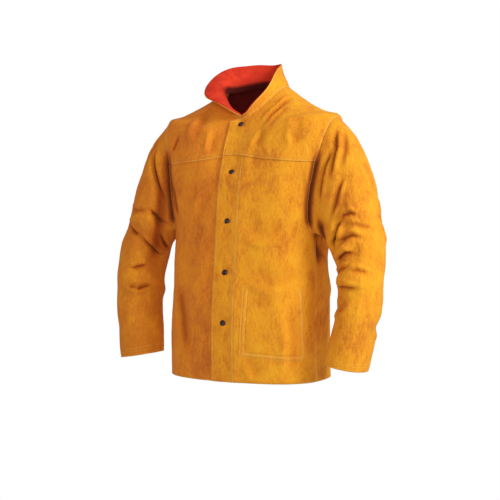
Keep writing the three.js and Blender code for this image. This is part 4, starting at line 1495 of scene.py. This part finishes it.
@dataclass
class Snap:
    """The domed cap of a press stud, with a rolled rim."""

    number: int
    radius: float = SNAP_RADIUS
    height: float = SNAP_HEIGHT
    sides: int = 48

    def build(self, node: bpy.types.Object, sheet: BVHTree, finish: bpy.types.Material) -> None:
        """Models the cap and sets it on the leather.

        Args:
            node: The frame's cap, which it stands for.
            sheet: The leather that it sits on.
            finish: Its material.
        """
        clear_selection()
        wall = self.height * SNAP_WALL
        bpy.ops.mesh.primitive_cylinder_add(
            vertices=self.sides, radius=self.radius, depth=wall, location=(0, 0, wall / 2)
        )
        cap = bpy.context.active_object
        cap.name = f"snap_{self.number}_cap"
        bpy.ops.object.mode_set(mode="EDIT")
        bpy.ops.mesh.select_mode(type="FACE")
        bpy.ops.mesh.select_all(action="DESELECT")
        shape = bmesh.from_edit_mesh(cap.data)
        for face in shape.faces:
            face.select = face.normal.z > 0.9
        bmesh.update_edit_mesh(cap.data)
        for inward, rise in SNAP_STEPS:
            bpy.ops.mesh.inset(thickness=self.radius * inward, depth=self.height * rise)
        bpy.ops.object.mode_set(mode="OBJECT")
        cap.data.shade_smooth()
        corners = np.array([vert.co[:] for vert in node.data.vertices])
        middle = Vector((corners.min(axis=0) + corners.max(axis=0)) / 2)
        seat, normal, _, _ = sheet.find_nearest(middle)
        turn = normal.to_track_quat("Z", "Y").to_matrix().to_4x4()
        cap.data.transform(Matrix.Translation(seat) @ turn)
        cap.matrix_world = Matrix.Identity(4)
        cap.data.materials.clear()
        cap.data.materials.append(finish)
        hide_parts(node.name)
        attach(cap, "root")
        LOG.info("%s is made", cap.name)


# Light, floor and camera


@dataclass
class Studio:
    """Soft light, a pale floor and the camera."""

    ambient: tuple[float, float, float] = (0.49, 0.34, 0.34)
    key: float = 50.0
    front: float = 20.0
    fill: float = 3.0

    def build(self) -> None:
        """Sets everything up."""
        self.light_world()
        self.lamp("key", (2.45, -0.45, 1.05), 0.8, self.key, (1.0, 0.98, 0.93))
        self.lamp("front", (1.7, -2.6, 0.3), 1.2, self.front, (1.0, 0.95, 0.86))
        self.lamp("fill", (-2.4, -0.6, 0.1), 1.2, self.fill, (1.0, 0.80, 0.62))
        self.lamp("back", (-0.9, 2.6, 1.2), 1.4, self.fill, (1.0, 0.97, 0.92))
        self.lay_floor()
        self.place_camera()
        bpy.context.scene.view_settings.view_transform = "Standard"

    def light_world(self) -> None:
        """Makes the surroundings a white backdrop and a dimmer, warmer light."""
        world = bpy.data.worlds.new("studio")
        world.use_nodes = True
        nodes, links = world.node_tree.nodes, world.node_tree.links
        path = nodes.new("ShaderNodeLightPath")
        seen = nodes.new("ShaderNodeMix")
        seen.data_type = "RGBA"
        seen.inputs[6].default_value = (*self.ambient, 1.0)
        seen.inputs[7].default_value = (1.0, 1.0, 1.0, 1.0)
        links.new(path.outputs["Is Camera Ray"], seen.inputs[0])
        links.new(seen.outputs[2], nodes["Background"].inputs["Color"])
        bpy.context.scene.world = world

    def lamp(self, name: str, place: tuple[float, float, float], size: float, power: float,
             colour: tuple[float, float, float]) -> None:
        """Adds a square soft light that faces the jacket.

        Args:
            name: Its name.
            place: Where it hangs.
            size: Its width.
            power: Its power in watts.
            colour: Its colour.
        """
        data = bpy.data.lights.new(name, "AREA")
        data.size, data.energy, data.color = size, power, colour
        light = bpy.data.objects.new(name, data)
        light.location = place
        light.rotation_euler = (VIEW_MIDDLE - Vector(place)).to_track_quat("-Z", "Y").to_euler()
        bpy.context.scene.collection.objects.link(light)

    def lay_floor(self) -> None:
        """Lays the floor well below the jacket, which hangs as it is worn."""
        clear_selection()
        bpy.ops.mesh.primitive_grid_add(
            x_subdivisions=4, y_subdivisions=4, size=FLOOR_SIZE, location=(0, 0, -FLOOR_DROP)
        )
        floor = bpy.context.active_object
        floor.name = "floor"
        floor.data.materials.append(PaleFloor().material())

    def place_camera(self) -> None:
        """Places the camera a little to the wearer's left and above."""
        turn, rise = math.radians(VIEW_TURN), math.radians(VIEW_RISE)
        toward = Vector((math.sin(turn) * math.cos(rise), -math.cos(turn) * math.cos(rise), math.sin(rise)))
        data = bpy.data.cameras.new("view")
        data.lens = SENSOR * VIEW_DISTANCE / VIEW_WIDTH
        data.sensor_width = SENSOR
        camera = bpy.data.objects.new("view", data)
        camera.location = VIEW_MIDDLE + toward * VIEW_DISTANCE
        camera.rotation_euler = (-toward).to_track_quat("-Z", "Y").to_euler()
        bpy.context.scene.collection.objects.link(camera)
        bpy.context.scene.camera = camera


@dataclass(frozen=True)
class Cut:
    """How a sheet was cut before it was sewn: its width, length and area."""

    width: float
    length: float
    area: float
    held: Hold = Hold.HUNG


CUTS = {
    "front_left": Cut(0.34, 0.56, 0.144),
    "front_right": Cut(0.34, 0.56, 0.143),
    "back": Cut(0.66, 0.60, 0.322),
    "yoke_left": Cut(0.30, 0.24, 0.0476),
    "yoke_right": Cut(0.30, 0.24, 0.0479),
    "yoke_back": Cut(0.52, 0.20, 0.084),
    "front_facing": Cut(0.065, 0.66, 0.041),
    "inside_pocket": Cut(0.152, 0.180, 0.0273),
    "collar": Cut(0.52, 0.07, 0.0254, Hold.FOLDED),
    "collar_lining": Cut(0.52, 0.08, 0.0324, Hold.FOLDED),
    "neck_lining": Cut(0.24, 0.14, 0.0298),
    "sleeve_left": Cut(0.56, 0.60, 0.212),
    "sleeve_right": Cut(0.56, 0.60, 0.201),
}


def main() -> None:
    """Builds the jacket and its surroundings."""
    logging.basicConfig(level=logging.INFO, format="%(message)s")
    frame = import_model()
    jacket = Jacket(frame["nodes"])
    jacket.cut()
    jacket.join()
    jacket.slant_pocket()
    jacket.crease()
    jacket.sew(Aramid().material())
    front, yoke = jacket.skins["front_left"].tree(), jacket.skins["yoke_left"].tree()
    gunmetal = Gunmetal().material()
    for number in range(1, 6):
        Snap(number).build(frame["nodes"][f"snap_{number}"], yoke if number == 1 else front, gunmetal)
    cotton = Cotton("red_cotton", tint(236, 74, 44), tint(196, 48, 34))
    # The neck's lining is a dark copy of the red cotton: painted shade deep in the neck
    shaded = Cotton("neck_cotton_shaded", tint(120, 32, 28), tint(84, 20, 20))
    jacket.finish(Suede(), cotton.material(), shaded.material())
    for name, cut in CUTS.items():
        sheet = jacket.skins[name].object
        area = sum(face.area for face in sheet.data.polygons) / 2
        LOG.info("%s area %.4f against %.4f", name, area, cut.area)
    Studio().build()


if __name__ == "__main__":
    main()
